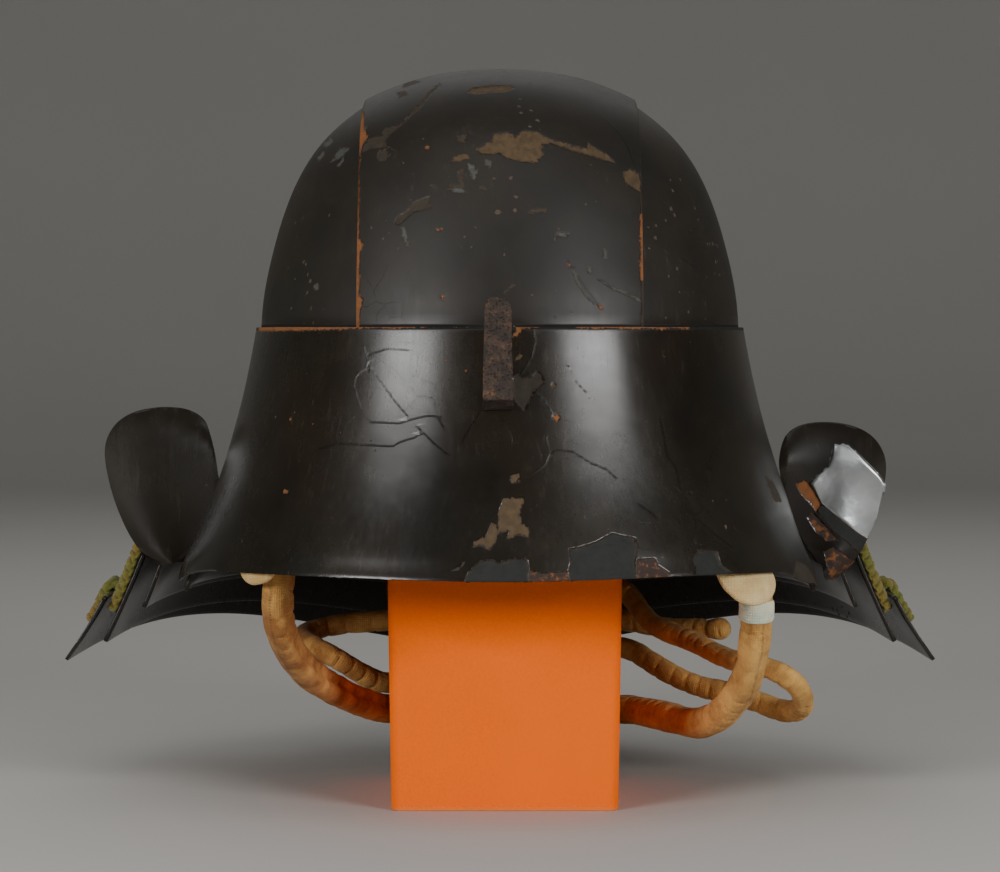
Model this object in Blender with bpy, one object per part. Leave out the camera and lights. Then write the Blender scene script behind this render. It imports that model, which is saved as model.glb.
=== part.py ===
"""Iron samurai helmet held up on a plain card stand, its plates, lacing and cords.

Blender script, metres, +Z up. The stand's foot is on the floor at the origin, the helmet faces -Y.
Angles go round the helmet from its front (0) to its right side (90) and its back (180).
"""
import math

import bpy
import numpy as np

MM = 0.001

# Bowl: the iron dome, read as a stack of ovals
BOWL_HALF_WIDTH = 102.4 * MM
BOWL_HALF_DEPTH = 115.0 * MM
BOWL_HEIGHT = 151.0 * MM
BOWL_BASE_Z = 158.0 * MM
BOWL_CENTRE_Y = 3.0 * MM
BOWL_PLATE = 1.5 * MM
SEAM_X = 57.0 * MM
SEAM_LAP = 8.0 * MM
SEAM_GAP = 0.8 * MM
BOWL_OVALS = (
    # share of the height, share of the half width
    (0.000, 0.990),
    (0.200, 0.999),
    (0.281, 1.002),
    (0.338, 0.999),
    (0.417, 0.976),
    (0.533, 0.936),
    (0.645, 0.888),
    (0.702, 0.852),
    (0.758, 0.813),
    (0.815, 0.750),
    (0.872, 0.650),
    (0.901, 0.590),
    (0.930, 0.510),
    (0.958, 0.405),
    (0.983, 0.262),
    (1.000, 0.000),
)

# Brow plate: the flared plate across the forehead
JOINT_Z = 200.5 * MM
BROW_PLATE = 1.9 * MM
BROW_TOP_PLATE = 1.2 * MM
BROW_GAP_FRONT = 0.6 * MM
BROW_GAP_SIDE = 0.6 * MM
BROW_END_ANGLE = 90.0
BROW_TOP_END_ANGLE = 101.0
BROW_TOP_END_DROP = 13.0 * MM
BROW_RIM_HALF_WIDTH = 138.4 * MM
BROW_RIM_HALF_DEPTH = 142.0 * MM
BROW_RIM_Z = 103.0 * MM
BROW_LEFT_TIP_DROP = 11.5 * MM
BROW_RIGHT_TIP_DROP = 15.5 * MM
BROW_FLARE = (
    # share of the height above the rim, share of the flare
    (0.00, 1.000),
    (0.06, 0.965),
    (0.13, 0.850),
    (0.22, 0.705),
    (0.34, 0.550),
    (0.50, 0.375),
    (0.68, 0.210),
    (0.86, 0.080),
    (1.00, 0.000),
)
BROW_TIP_DROP = (
    # angle from the front, share of the tip's drop
    (0.0, 0.00),
    (44.0, 0.00),
    (58.0, 0.12),
    (70.0, 0.42),
    (80.0, 0.80),
    (90.0, 1.00),
)

# Base band: the plate round the back of the bowl, behind the brow plate's ends
BAND_START_ANGLE = 80.0
BAND_TOP_Z = 175.0 * MM
BAND_RIM_Z = 89.0 * MM
BAND_PLATE = 1.8 * MM
BAND_INSET = 2.8 * MM
BAND_BACK_ROOM = 3.0 * MM
BAND_BACK_FLARE = 0.92

# Crest hook: the flat bar that stands up from the brow plate
HOOK_X = -0.8 * MM
HOOK_WIDTH = 11.8 * MM
HOOK_TOP_WIDTH = 10.4 * MM
HOOK_THICKNESS = 4.6 * MM
HOOK_ROOT_Z = 170.4 * MM
HOOK_REACH = 11.4 * MM
HOOK_ARM_RISE = 22.0
HOOK_TOP_Z = 212.0 * MM
HOOK_TOP_RADIUS = 3.8 * MM
HOOK_GAP = 0.4 * MM

# Neck guard: four plates from ear to ear round the back, each outside the one above
LAME_FRONT_Y = 10.0 * MM
LOWER_LAME_FRONT_Y = 15.0 * MM
LAME_PLATE = 1.7 * MM
LAME_BOW = 1.2 * MM
LAME_MIDDLE_LIFT = 16.0 * MM
NECK_SIDE_SPREAD = 54.4 * MM
NECK_BACK_SPREAD = 49.8 * MM
NECK_DROP = 157.5 * MM
NECK_CENTRE_Y = 40.0 * MM
LAMES = (
    # name, then for the front top, front bottom, back top and back bottom edges in turn:
    # distance outside the base band as a share of the spread, drop below the joint as a share of the neck's drop;
    # and last the share of the bow
    ("neck_lame_1", 0.046, 0.438, 0.085, 0.638, 0.072, 0.410, 0.183, 0.651, 0.67),
    ("neck_lame_2", 0.266, 0.625, 0.375, 0.771, 0.323, 0.587, 0.478, 0.803, 0.42),
    ("neck_lame_3", 0.438, 0.613, 0.688, 0.867, 0.549, 0.740, 0.759, 0.917, 0.75),
    ("neck_lame_4", 0.678, 0.740, 1.000, 0.917, 0.820, 0.854, 1.000, 1.000, 1.00),
)

# Ear flaps: the front ends of the top neck plate, turned outward and facing forward
FLAP_LEAN_BACK = 3.0 * MM
FLAP_BULGE = 2.5 * MM
LEFT_FLAP_RAISE = 0.0 * MM
RIGHT_FLAP_RAISE = -6.5 * MM
RIGHT_FLAP_INSET = 4.0 * MM
FLAP_SPREAD = 33.2 * MM
FLAP_HEIGHT = 66.3 * MM
FLAP_OUTLINE = (
    # the outer edge from its foot round to its top: share of the spread outside the plate's lower corner,
    # share of the height above that corner
    (0.265, -0.045),
    (0.416, -0.008),
    (0.581, 0.075),
    (0.732, 0.196),
    (0.867, 0.362),
    (0.952, 0.528),
    (1.000, 0.679),
    (0.976, 0.792),
    (0.837, 0.905),
    (0.611, 0.971),
    (0.325, 1.000),
    (0.039, 1.000),
    (-0.172, 0.974),
    (-0.325, 0.917),
)
FLAP_INNER_BOW = 1.6 * MM

# Lacing: straps over the top edge of each neck plate from the one above
STRAP_WIDTH = 9.0 * MM
STRAP_THICKNESS = 2.2 * MM
STRAP_GAP = 0.5 * MM
STRAP_ANGLES = (96.0, 124.0, 152.0, 180.0, 208.0, 236.0, 264.0)
STRAP_STAGGER = 3.6
STRAP_INSIDE = 4.5 * MM
STRAP_HANG_GAP = 0.7 * MM
STRAP_DROP = (
    # neck plate above, neck plate below, share of its height where the strap ends in front and at the back
    ("neck_lame_1", "neck_lame_2", 0.72, 0.45),
    ("neck_lame_2", "neck_lame_3", 0.28, 0.48),
    ("neck_lame_3", "neck_lame_4", 0.42, 0.36),
)

# Stand: a folded card box, a little narrower at its foot
STAND_X = 2.0 * MM
STAND_FOOT_WIDTH = 94.4 * MM
STAND_TOP_WIDTH = 103.0 * MM
STAND_DEPTH = 96.0 * MM
STAND_TOP_GAP = 0.3 * MM
STAND_EDGE_RADIUS = 4.0 * MM

# Cords: padded cloth tubes, their routes in mm
CHIN_CORD_DIAMETER = 13.0 * MM
CHIN_CORD_ROUTE = (
    (-88.0, -80.6, 112.0),
    (-88.7, -81.8, 103.0),
    (-89.2, -83.0, 94.9),
    (-89.6, -82.0, 89.3),
    (-89.4, -80.0, 82.7),
    (-87.6, -72.0, 73.7),
    (-83.6, -54.0, 63.6),
    (-78.4, -32.0, 54.4),
    (-71.1, -6.0, 45.7),
    (-62.4, 26.0, 36.5),
    (-50.8, 56.0, 29.1),
    (-30.0, 71.0, 25.0),
    (2.0, 75.0, 23.0),
    (34.0, 71.0, 25.5),
    (55.9, 58.0, 28.9),
    (66.6, 38.0, 29.7),
    (75.3, 20.0, 29.8),
    (84.9, 0.0, 29.9),
    (92.1, -18.0, 35.3),
    (97.5, -35.0, 43.8),
    (101.8, -49.0, 53.9),
    (103.7, -59.0, 66.2),
    (104.4, -66.0, 77.9),
    (104.4, -67.3, 87.8),
    (104.4, -67.9, 96.5),
    (103.6, -67.0, 108.0),
)
BACK_CORD_DIAMETER = 9.6 * MM
BACK_CORD_ROUTE = (
    (24.5, 132.5, 102.0),
    (34.0, 112.0, 95.0),
    (57.8, 94.0, 79.5),
    (67.9, 74.0, 66.6),
    (76.1, 58.0, 63.7),
    (84.6, 44.0, 61.5),
    (93.4, 30.0, 58.1),
    (100.6, 15.0, 55.8),
    (108.8, 4.0, 55.3),
    (117.7, -3.0, 54.0),
    (126.1, 0.0, 48.9),
    (131.8, 9.0, 41.3),
    (132.8, 22.0, 33.5),
    (126.5, 34.0, 30.2),
    (115.5, 40.0, 34.3),
    (104.5, 46.0, 37.6),
    (93.3, 52.0, 38.6),
    (81.2, 60.0, 42.2),
    (68.3, 72.0, 48.5),
    (56.1, 86.0, 54.3),
    (20.0, 102.0, 50.0),
    (-20.0, 98.0, 42.0),
    (-51.8, 80.0, 37.5),
    (-64.8, 66.0, 45.1),
    (-74.4, 59.0, 52.3),
    (-83.6, 62.0, 56.5),
    (-89.9, 75.0, 58.3),
    (-90.0, 91.0, 59.8),
    (-82.8, 102.0, 61.5),
    (-70.0, 105.0, 63.5),
    (-52.8, 108.0, 63.7),
    (-20.0, 113.0, 68.0),
    (20.0, 112.0, 67.0),
    (54.0, 100.0, 65.5),
    (77.3, 86.0, 62.2),
    (87.7, 77.0, 63.1),
    (97.3, 71.0, 63.7),
    (104.3, 67.0, 64.1),
)
CORD_STEP_DIAMETERS = 1.5
CORD_EASING_STEP = 2.0 * MM
CORD_EASING_PASSES = 26

# Cloth tabs that hold the chin cord against the brow plate's inner face
TAB_GAP = 0.5 * MM
TABS = (
    # name, angle from the front, height of the middle, half length, half thickness, half height, in mm
    ("cord_tab_left", -47.0, 107.5, 12.5, 3.6, 8.5),
    ("cord_tab_right", 50.0, 102.5, 15.5, 3.8, 12.5),
)

BOWL_ARC_STEPS = 30
CROWN_STEPS = 8
SIDE_STEPS = 7
BROW_ANGLE_STEPS = 36
BROW_HEIGHT_STEPS = 8
BAND_ANGLE_STEPS = 28
BAND_HEIGHT_STEPS = 5
LAME_ANGLE_STEPS = 22
LAME_HEIGHT_STEPS = 2
FLAP_STEPS = 5

IRON = ("lacquered_iron", "1d1512", 0.35, 0.0)
RUST = ("rusted_iron", "3a2a22", 0.8, 0.6)
CARD = ("orange_card", "e8761e", 0.7, 0.0)
CLOTH = ("padded_cloth", "c9a77f", 0.95, 0.0)
LACE = ("braided_lacing", "6b6a2a", 0.95, 0.0)


def smooth_value(table, at):
    """Value of a two-column table on a smooth curve through its rows."""
    table_rows = np.array(table, dtype=float)
    places = table_rows[:, 0]
    values = table_rows[:, 1]
    slopes = np.gradient(values, places)
    low = int(np.clip(np.searchsorted(places, at) - 1, 0, len(places) - 2))
    span = places[low + 1] - places[low]
    share = float(np.clip((at - places[low]) / span, 0.0, 1.0))
    rise = values[low + 1] - values[low]
    start = slopes[low] * span
    end = slopes[low + 1] * span
    bend = (2 * share**3 - 3 * share**2) * -rise
    return float(values[low] + bend + (share**3 - 2 * share**2 + share) * start + (share**3 - share**2) * end)


def smooth_share(share):
    """Share eased at both ends."""
    share = min(max(share, 0.0), 1.0)
    return share * share * (3.0 - 2.0 * share)


def surface_normals(points):
    """Unit normals of a grid of points, from its neighbours."""
    along = np.gradient(points, axis=0)
    up = np.gradient(points, axis=1)
    normals = np.cross(along, up)
    lengths = np.linalg.norm(normals, axis=2, keepdims=True)
    lengths[lengths < 1e-12] = 1.0
    return normals / lengths


def add_mesh(name, vertices, faces, finish):
    """New mesh object with outward faces and its own material."""
    mesh = bpy.data.meshes.new(name)
    mesh.from_pydata([tuple(float(c) for c in v) for v in vertices], [], faces)
    mesh.validate()
    part = bpy.data.objects.new(name, mesh)
    bpy.context.scene.collection.objects.link(part)
    turn_outward(mesh)
    mesh.materials.append(new_material(name, finish))
    for polygon in mesh.polygons:
        polygon.use_smooth = True
    return part


def turn_outward(mesh):
    """Flip all faces if the closed mesh's volume comes out negative."""
    volume = 0.0
    for polygon in mesh.polygons:
        corners = [mesh.vertices[i].co for i in polygon.vertices]
        for second, third in zip(corners[1:-1], corners[2:]):
            volume += corners[0].dot(second.cross(third)) / 6.0
    if volume < 0.0:
        mesh.flip_normals()


def new_material(name, finish):
    """Principled material of one colour, roughness and metal share."""
    slot, colour, roughness, metallic = finish
    material = bpy.data.materials.new(slot + "_" + name)
    material.use_nodes = True
    shader = material.node_tree.nodes["Principled BSDF"]
    channels = [int(colour[i:i + 2], 16) / 255.0 for i in (0, 2, 4)]
    linear = [c / 12.92 if c <= 0.04045 else ((c + 0.055) / 1.055) ** 2.4 for c in channels]
    shader.inputs["Base Color"].default_value = (*linear, 1.0)
    shader.inputs["Roughness"].default_value = roughness
    shader.inputs["Metallic"].default_value = metallic
    material.diffuse_color = (*linear, 1.0)
    return material


def plate_from_grids(name, outer, inner, finish):
    """Closed plate between two grids of points of the same size."""
    columns, rows = outer.shape[:2]
    vertices = np.concatenate([outer.reshape(-1, 3), inner.reshape(-1, 3)])
    shift = columns * rows

    def at(column, row, side):
        return side * shift + column * rows + row

    faces = []
    for c in range(columns - 1):
        for r in range(rows - 1):
            faces.append((at(c, r, 0), at(c + 1, r, 0), at(c + 1, r + 1, 0), at(c, r + 1, 0)))
            faces.append((at(c, r, 1), at(c, r + 1, 1), at(c + 1, r + 1, 1), at(c + 1, r, 1)))
    for c in range(columns - 1):
        faces.append((at(c, 0, 1), at(c + 1, 0, 1), at(c + 1, 0, 0), at(c, 0, 0)))
        faces.append((at(c, rows - 1, 0), at(c + 1, rows - 1, 0), at(c + 1, rows - 1, 1), at(c, rows - 1, 1)))
    for r in range(rows - 1):
        faces.append((at(0, r, 0), at(0, r + 1, 0), at(0, r + 1, 1), at(0, r, 1)))
        faces.append((at(columns - 1, r, 1), at(columns - 1, r + 1, 1), at(columns - 1, r + 1, 0), at(columns - 1, r, 0)))
    return add_mesh(name, vertices, faces, finish)


def bowl_excess(x, y, z):
    """Below zero inside the bowl's outer face and above zero outside it."""
    share = (z - BOWL_BASE_Z) / BOWL_HEIGHT
    if share >= 1.0:
        return 1.0
    width_share = smooth_value(BOWL_OVALS, max(share, 0.0))
    radius = math.hypot(x / BOWL_HALF_WIDTH, (y - BOWL_CENTRE_Y) / BOWL_HALF_DEPTH)
    return radius - width_share


def bowl_hit(start, direction):
    """Where a ray from inside the bowl meets its outer face."""
    near = 0.0
    far = 0.3
    for _ in range(44):
        middle = (near + far) / 2.0
        place = start + direction * middle
        if bowl_excess(*place) < 0.0:
            near = middle
        else:
            far = middle
    return start + direction * near


def bowl_normal(place):
    """Outward direction of the bowl's outer face."""
    step = 0.4 * MM
    slopes = []
    for axis in range(3):
        ahead = place.copy()
        behind = place.copy()
        ahead[axis] += step
        behind[axis] -= step
        slopes.append(bowl_excess(*ahead) - bowl_excess(*behind))
    slopes = np.array(slopes)
    return slopes / np.linalg.norm(slopes)


def arc_angles():
    """Angles of the half planes that both the crown and the side plates are cut by."""
    return [math.pi * i / BOWL_ARC_STEPS for i in range(BOWL_ARC_STEPS + 1)]


def crown_point(x, arc):
    """Point of the bowl's outer face at a distance across and an angle front to back."""
    start = np.array([x, BOWL_CENTRE_Y, BOWL_BASE_Z + 0.01 * MM])
    return bowl_hit(start, np.array([0.0, -math.cos(arc), math.sin(arc)]))


def held_level(place, arc, offset):
    """Point moved out along the bowl's normal, within its own half plane."""
    normal = bowl_normal(place)
    in_plane = np.array([0.0, -math.cos(arc), math.sin(arc)])
    across = np.array([1.0, 0.0, 0.0])
    flat = across * normal.dot(across) + in_plane * normal.dot(in_plane)
    flat /= max(np.linalg.norm(flat), 1e-9)
    return place + flat * offset


def crown_plate():
    """Wide strip from front to back over the top."""
    seam_share = 1.0 - SEAM_LAP / SEAM_X
    shares = [i / (CROWN_STEPS - 2) for i in range(CROWN_STEPS - 1)]
    inner_places = [(2.0 * s - 1.0) * seam_share for s in shares]
    places = [-1.0] + inner_places + [1.0]
    outer = []
    inner = []
    for arc in arc_angles():
        outer_row = []
        inner_row = []
        for share in places:
            skin = crown_point(share * SEAM_X, arc)
            lifted = held_level(skin, arc, SEAM_GAP + BOWL_PLATE)
            seated = held_level(skin, arc, SEAM_GAP)
            outer_row.append(np.array([share * SEAM_X, lifted[1], lifted[2]]))
            inner_row.append(np.array([share * SEAM_X, seated[1], seated[2]]))
        outer.append(outer_row)
        inner.append(inner_row)
    return plate_from_grids("crown_plate", np.array(outer), np.array(inner), IRON)


def side_plate(name, side):
    """Bowl plate outside one seam, its edge tucked under the crown plate."""
    pole_start = np.array([0.0, BOWL_CENTRE_Y, BOWL_BASE_Z + 0.01 * MM])
    pole = bowl_hit(pole_start, np.array([side, 0.0, 0.0]))
    lap_x = SEAM_X - SEAM_LAP
    outer = []
    for arc in arc_angles():
        row = [crown_point(side * lap_x, arc), crown_point(side * SEAM_X, arc)]
        seam_radius = math.hypot(row[1][1] - BOWL_CENTRE_Y, row[1][2] - BOWL_BASE_Z)
        seam_tilt = math.atan2(SEAM_X, seam_radius)
        for i in range(1, SIDE_STEPS):
            tilt = seam_tilt + (math.pi / 2.0 - seam_tilt) * i / SIDE_STEPS
            ray = np.array([side * math.sin(tilt), -math.cos(tilt) * math.cos(arc), math.cos(tilt) * math.sin(arc)])
            row.append(bowl_hit(pole_start, ray))
        outer.append(row)
    outer = np.array(outer)
    inner = np.array([
        [held_level(point, arc, -BOWL_PLATE) for point in row]
        for row, arc in zip(outer, arc_angles())
    ])
    columns, rows = outer.shape[:2]
    vertices = list(outer.reshape(-1, 3)) + list(inner.reshape(-1, 3))
    shift = columns * rows
    outer_pole = len(vertices)
    vertices.append(pole)
    vertices.append(pole - np.array([side * BOWL_PLATE, 0.0, 0.0]))
    inner_pole = outer_pole + 1
    faces = []
    last = rows - 1
    for c in range(columns - 1):
        for r in range(last):
            a = c * rows + r
            faces.append((a, a + rows, a + rows + 1, a + 1))
            faces.append((shift + a, shift + a + 1, shift + a + rows + 1, shift + a + rows))
        faces.append((c * rows + last, (c + 1) * rows + last, outer_pole))
        faces.append((shift + (c + 1) * rows + last, shift + c * rows + last, inner_pole))
        faces.append((shift + c * rows, shift + (c + 1) * rows, (c + 1) * rows, c * rows))
    for c, forward in ((0, True), (columns - 1, False)):
        edge = [c * rows + r for r in range(rows)] + [outer_pole]
        back = [shift + c * rows + r for r in range(rows)] + [inner_pole]
        for first, second, third, fourth in zip(edge[:-1], edge[1:], back[1:], back[:-1]):
            faces.append((first, second, third, fourth) if forward else (fourth, third, second, first))
    return add_mesh(name, vertices, faces, IRON)


def brow_offset(angle):
    """Distance from the bowl's face to the brow plate's inner face at the joint."""
    turn = abs(angle)
    front = SEAM_GAP + BOWL_PLATE + BROW_GAP_FRONT
    return front + (BROW_GAP_SIDE - front) * smooth_share((turn - 36.0) / 50.0)


def rim_height(angle, side_drop):
    """Height of the brow plate's rim."""
    return BROW_RIM_Z - side_drop * smooth_value(BROW_TIP_DROP, min(abs(angle), BROW_END_ANGLE))


def flared_point(angle, share, low_z, top_z, flare_share, offset):
    """Point of the flared outer face of the brow plate or, further round, of the base band."""
    turn = math.radians(angle)
    height = low_z + (top_z - low_z) * share
    joint_width = BOWL_HALF_WIDTH + brow_offset(min(abs(angle), 90.0)) + BROW_TOP_PLATE
    joint_depth = BOWL_HALF_DEPTH + brow_offset(min(abs(angle), 90.0)) + BROW_TOP_PLATE
    full = (height - (BROW_RIM_Z - BROW_LEFT_TIP_DROP)) / (JOINT_Z - (BROW_RIM_Z - BROW_LEFT_TIP_DROP))
    local = (height - low_z) / (JOINT_Z - low_z)
    blend = smooth_share((abs(angle) - 40.0) / 50.0)
    flare = smooth_value(BROW_FLARE, min(max(full * blend + local * (1.0 - blend), 0.0), 1.0)) * flare_share
    half_width = joint_width + (BROW_RIM_HALF_WIDTH - joint_width) * flare + offset
    half_depth = joint_depth + (BROW_RIM_HALF_DEPTH - joint_depth) * flare + offset
    return np.array([half_width * math.sin(turn), BOWL_CENTRE_Y - half_depth * math.cos(turn), height])


def brow_point(angle, share):
    """Point of the brow plate's outer face."""
    drop = BROW_RIGHT_TIP_DROP if angle > 0.0 else BROW_LEFT_TIP_DROP
    past_ear = smooth_share((abs(angle) - BROW_END_ANGLE) / (BROW_TOP_END_ANGLE - BROW_END_ANGLE))
    top_z = JOINT_Z - BROW_TOP_END_DROP * past_ear
    return flared_point(angle, share, rim_height(angle, drop), top_z, 1.0, 0.0)


def brow_plate():
    """Flared plate across the forehead from ear to ear."""
    outer = []
    heights = [(r / BROW_HEIGHT_STEPS) ** 1.35 for r in range(BROW_HEIGHT_STEPS + 1)]
    for i in range(BROW_ANGLE_STEPS + 1):
        across = math.sin(1.35 * (2.0 * i / BROW_ANGLE_STEPS - 1.0)) / math.sin(1.35)
        row = []
        for height in heights:
            end = BROW_END_ANGLE + (BROW_TOP_END_ANGLE - BROW_END_ANGLE) * smooth_share((height - 0.5) / 0.5)
            row.append(brow_point(end * across, height))
        outer.append(row)
    outer = np.array(outer)
    depths = np.array([BROW_PLATE + (BROW_TOP_PLATE - BROW_PLATE) * smooth_share(h * 1.2) for h in heights])
    inner = outer - surface_normals(outer) * depths[None, :, None]
    inner[:, 0, 2] = outer[:, 0, 2]
    inner[:, -1, 2] = outer[:, -1, 2]
    return plate_from_grids("brow_plate", outer, inner, IRON)


def band_point(angle, share):
    """Point of the base band's outer face, just inside the line of the brow plate."""
    back = smooth_share((abs(angle) - 90.0) / 90.0)
    flare_share = 1.0 + (BAND_BACK_FLARE - 1.0) * back
    offset = BAND_BACK_ROOM * smooth_share((abs(angle) - 105.0) / 45.0) - BAND_INSET
    return flared_point(angle, share, BAND_RIM_Z, BAND_TOP_Z, flare_share, offset)


def base_band():
    """Plate round the back of the bowl, its ends behind the brow plate."""
    outer = []
    for i in range(BAND_ANGLE_STEPS + 1):
        angle = BAND_START_ANGLE + (360.0 - 2.0 * BAND_START_ANGLE) * i / BAND_ANGLE_STEPS
        turn = angle if angle <= 180.0 else angle - 360.0
        row = []
        for r in range(BAND_HEIGHT_STEPS + 1):
            point = band_point(abs(turn), r / BAND_HEIGHT_STEPS)
            row.append(np.array([math.copysign(point[0], turn), point[1], point[2]]))
        outer.append(row)
    outer = np.array(outer)
    inner = outer - surface_normals(outer) * BAND_PLATE
    inner[:, 0, 2] = outer[:, 0, 2]
    inner[:, -1, 2] = outer[:, -1, 2]
    return plate_from_grids("base_band", outer, inner, IRON)


def sweep_bar(name, sections, finish):
    """Closed flat bar across X, from rows of centre, half thickness as an arrow, and width."""
    vertices = []
    faces = []
    for centre, front, width in sections:
        for across, out in ((-1, -1), (1, -1), (1, 1), (-1, 1)):
            vertices.append(centre + np.array([across * width / 2.0, 0.0, 0.0]) + front * out)
    count = len(sections)
    for i in range(count - 1):
        for k in range(4):
            a = i * 4 + k
            b = i * 4 + (k + 1) % 4
            faces.append((a, b, b + 4, a + 4))
    faces.append((3, 2, 1, 0))
    faces.append(tuple((count - 1) * 4 + k for k in range(4)))
    return add_mesh(name, vertices, faces, finish)


def crest_hook():
    """Flat bar whose short arm rises out of the brow plate and turns up into a stem with a round top."""
    rise = math.radians(HOOK_ARM_RISE)
    half = HOOK_THICKNESS / 2.0
    share = (HOOK_ROOT_Z - BROW_RIM_Z) / (JOINT_Z - BROW_RIM_Z)
    wall = brow_point(0.0, share)
    slope = brow_point(0.0, share + 0.02) - wall
    slope /= np.linalg.norm(slope)
    square = np.array([0.0, -slope[2], slope[1]])
    root = wall + np.array([HOOK_X, 0.0, 0.0]) + square * HOOK_GAP
    arm_way = np.array([0.0, -math.cos(rise), math.sin(rise)])
    arm_under = np.array([0.0, -math.sin(rise), -math.cos(rise)])
    stem_front = np.array([0.0, -1.0, 0.0])
    stem_y = wall[1] - HOOK_REACH + half
    corner = root + arm_way * ((root[1] - stem_y) / math.cos(rise))
    root_edge = -slope * (half / (-slope).dot(arm_under))
    corner_edge = (arm_under + stem_front) * (half / (1.0 + arm_under.dot(stem_front)))
    sections = [(root, root_edge, HOOK_WIDTH), (corner, corner_edge, HOOK_WIDTH)]
    round_z = HOOK_TOP_Z - HOOK_TOP_RADIUS
    for up in (0.2, 0.6, 1.0):
        height = corner[2] + (round_z - corner[2]) * up
        width = HOOK_WIDTH + (HOOK_TOP_WIDTH - HOOK_WIDTH) * up
        sections.append((np.array([HOOK_X, stem_y, height]), stem_front * half, width))
    for step in (1, 2, 3):
        turn = math.pi / 6.0 * step
        height = round_z + HOOK_TOP_RADIUS * math.sin(turn)
        width = HOOK_TOP_WIDTH - 2.0 * HOOK_TOP_RADIUS * (1.0 - math.cos(turn))
        sections.append((np.array([HOOK_X, stem_y, height]), stem_front * half, width))
    return sweep_bar("crest_hook", sections, RUST)


def band_face(angle, height):
    """Distance from the helmet's middle line to the base band's outer face, at its side or its back."""
    share = max((height - BAND_RIM_Z) / (BAND_TOP_Z - BAND_RIM_Z), 0.0)
    point = band_point(angle, share)
    return point[0] if angle == 90.0 else point[1]


def lame_corner(angle, spread, out_share, drop_share):
    """Distance out and height of one edge of a neck plate, at its front ends or at the back."""
    height = JOINT_Z - drop_share * NECK_DROP
    return band_face(angle, height) + out_share * spread, height


def lame_point(row, angle, share):
    """Point of a neck plate's outer face; share 0 is its lower edge and 1 its upper edge."""
    top_x, front_top_z = lame_corner(90.0, NECK_SIDE_SPREAD, row[1], row[2])
    low_x, front_low_z = lame_corner(90.0, NECK_SIDE_SPREAD, row[3], row[4])
    top_y, back_top_z = lame_corner(180.0, NECK_BACK_SPREAD, row[5], row[6])
    low_y, back_low_z = lame_corner(180.0, NECK_BACK_SPREAD, row[7], row[8])
    turn = math.radians(abs(angle))
    round_share = smooth_share((abs(angle) - 90.0) / 90.0)
    bulge = LAME_BOW * row[9] * 4.0 * share * (1.0 - share)
    front_y = LAME_FRONT_Y if row is LAMES[0] else LOWER_LAME_FRONT_Y
    across = low_x + (top_x - low_x) * share - bulge
    back = low_y + (top_y - low_y) * share - bulge - front_y
    front_z = front_low_z + (front_top_z - front_low_z) * share
    back_z = back_low_z + (back_top_z - back_low_z) * share
    order = (1.0 + LAMES.index(row)) / len(LAMES)
    lift = LAME_MIDDLE_LIFT * order * math.sin(math.pi * (abs(angle) - 90.0) / 90.0) ** 2
    height = front_z + (back_z - front_z) * round_share + lift
    x = across * math.sin(turn)
    y = front_y - back * math.cos(turn)
    return np.array([math.copysign(x, angle), y, height])


def lame_angles():
    """Angles round the back from the left front end to the right front end."""
    span = [180.0 * i / LAME_ANGLE_STEPS - 90.0 for i in range(LAME_ANGLE_STEPS + 1)]
    return [180.0 - s for s in span[::-1]]


def signed(angle):
    """Angle between -180 and 180."""
    return angle if angle <= 180.0 else angle - 360.0


def neck_lame(row):
    """Plain neck plate from ear to ear."""
    outer = []
    for angle in lame_angles():
        outer.append([lame_point(row, signed(angle), r / LAME_HEIGHT_STEPS) for r in range(LAME_HEIGHT_STEPS + 1)])
    outer = np.array(outer)
    inner = outer - outward_normals(outer) * LAME_PLATE
    return plate_from_grids(row[0], outer, inner, IRON)


def outward_normals(outer):
    """Normals of a grid, turned so that they point away from the helmet's middle."""
    normals = surface_normals(outer)
    middle = outer.shape[0] // 2
    away = outer[middle, 0] - np.array([0.0, NECK_CENTRE_Y, outer[middle, 0][2]])
    if normals[middle, 0].dot(away) < 0.0:
        normals = -normals
    return normals


def flap_columns(row, side, raise_by, inset):
    """Grid columns of one ear flap, from its fold to its outer edge."""
    corner_x, corner_z = lame_corner(90.0, NECK_SIDE_SPREAD, row[3], row[4])
    outline = [(corner_x + x * FLAP_SPREAD, corner_z + z * FLAP_HEIGHT) for x, z in FLAP_OUTLINE]
    columns = []
    shares = [i / (len(outline) - 1) for i in range(len(outline))]
    fold_shares = [0.0] + [smooth_share(s) for s in shares[1:-1]] + [1.0]
    for step in range(1, FLAP_STEPS + 1):
        out = step / FLAP_STEPS
        column = []
        for share, (edge_x, edge_z) in zip(fold_shares, outline):
            fold = lame_point(row, 90.0, share)
            lifted = raise_by * smooth_share(out * 1.4)
            pulled = inset * smooth_share(out * 1.2)
            bow = FLAP_INNER_BOW * math.sin(math.pi * out) * share**6
            x = fold[0] + (edge_x - fold[0]) * out - pulled - bow
            z = fold[2] + (edge_z - fold[2]) * out + lifted
            bulge = FLAP_BULGE * math.sin(math.pi * out)
            y = LAME_FRONT_Y + FLAP_LEAN_BACK * out**2 - bulge
            column.append(np.array([side * x, y, z]))
        columns.append(column)
    return columns, fold_shares


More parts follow.
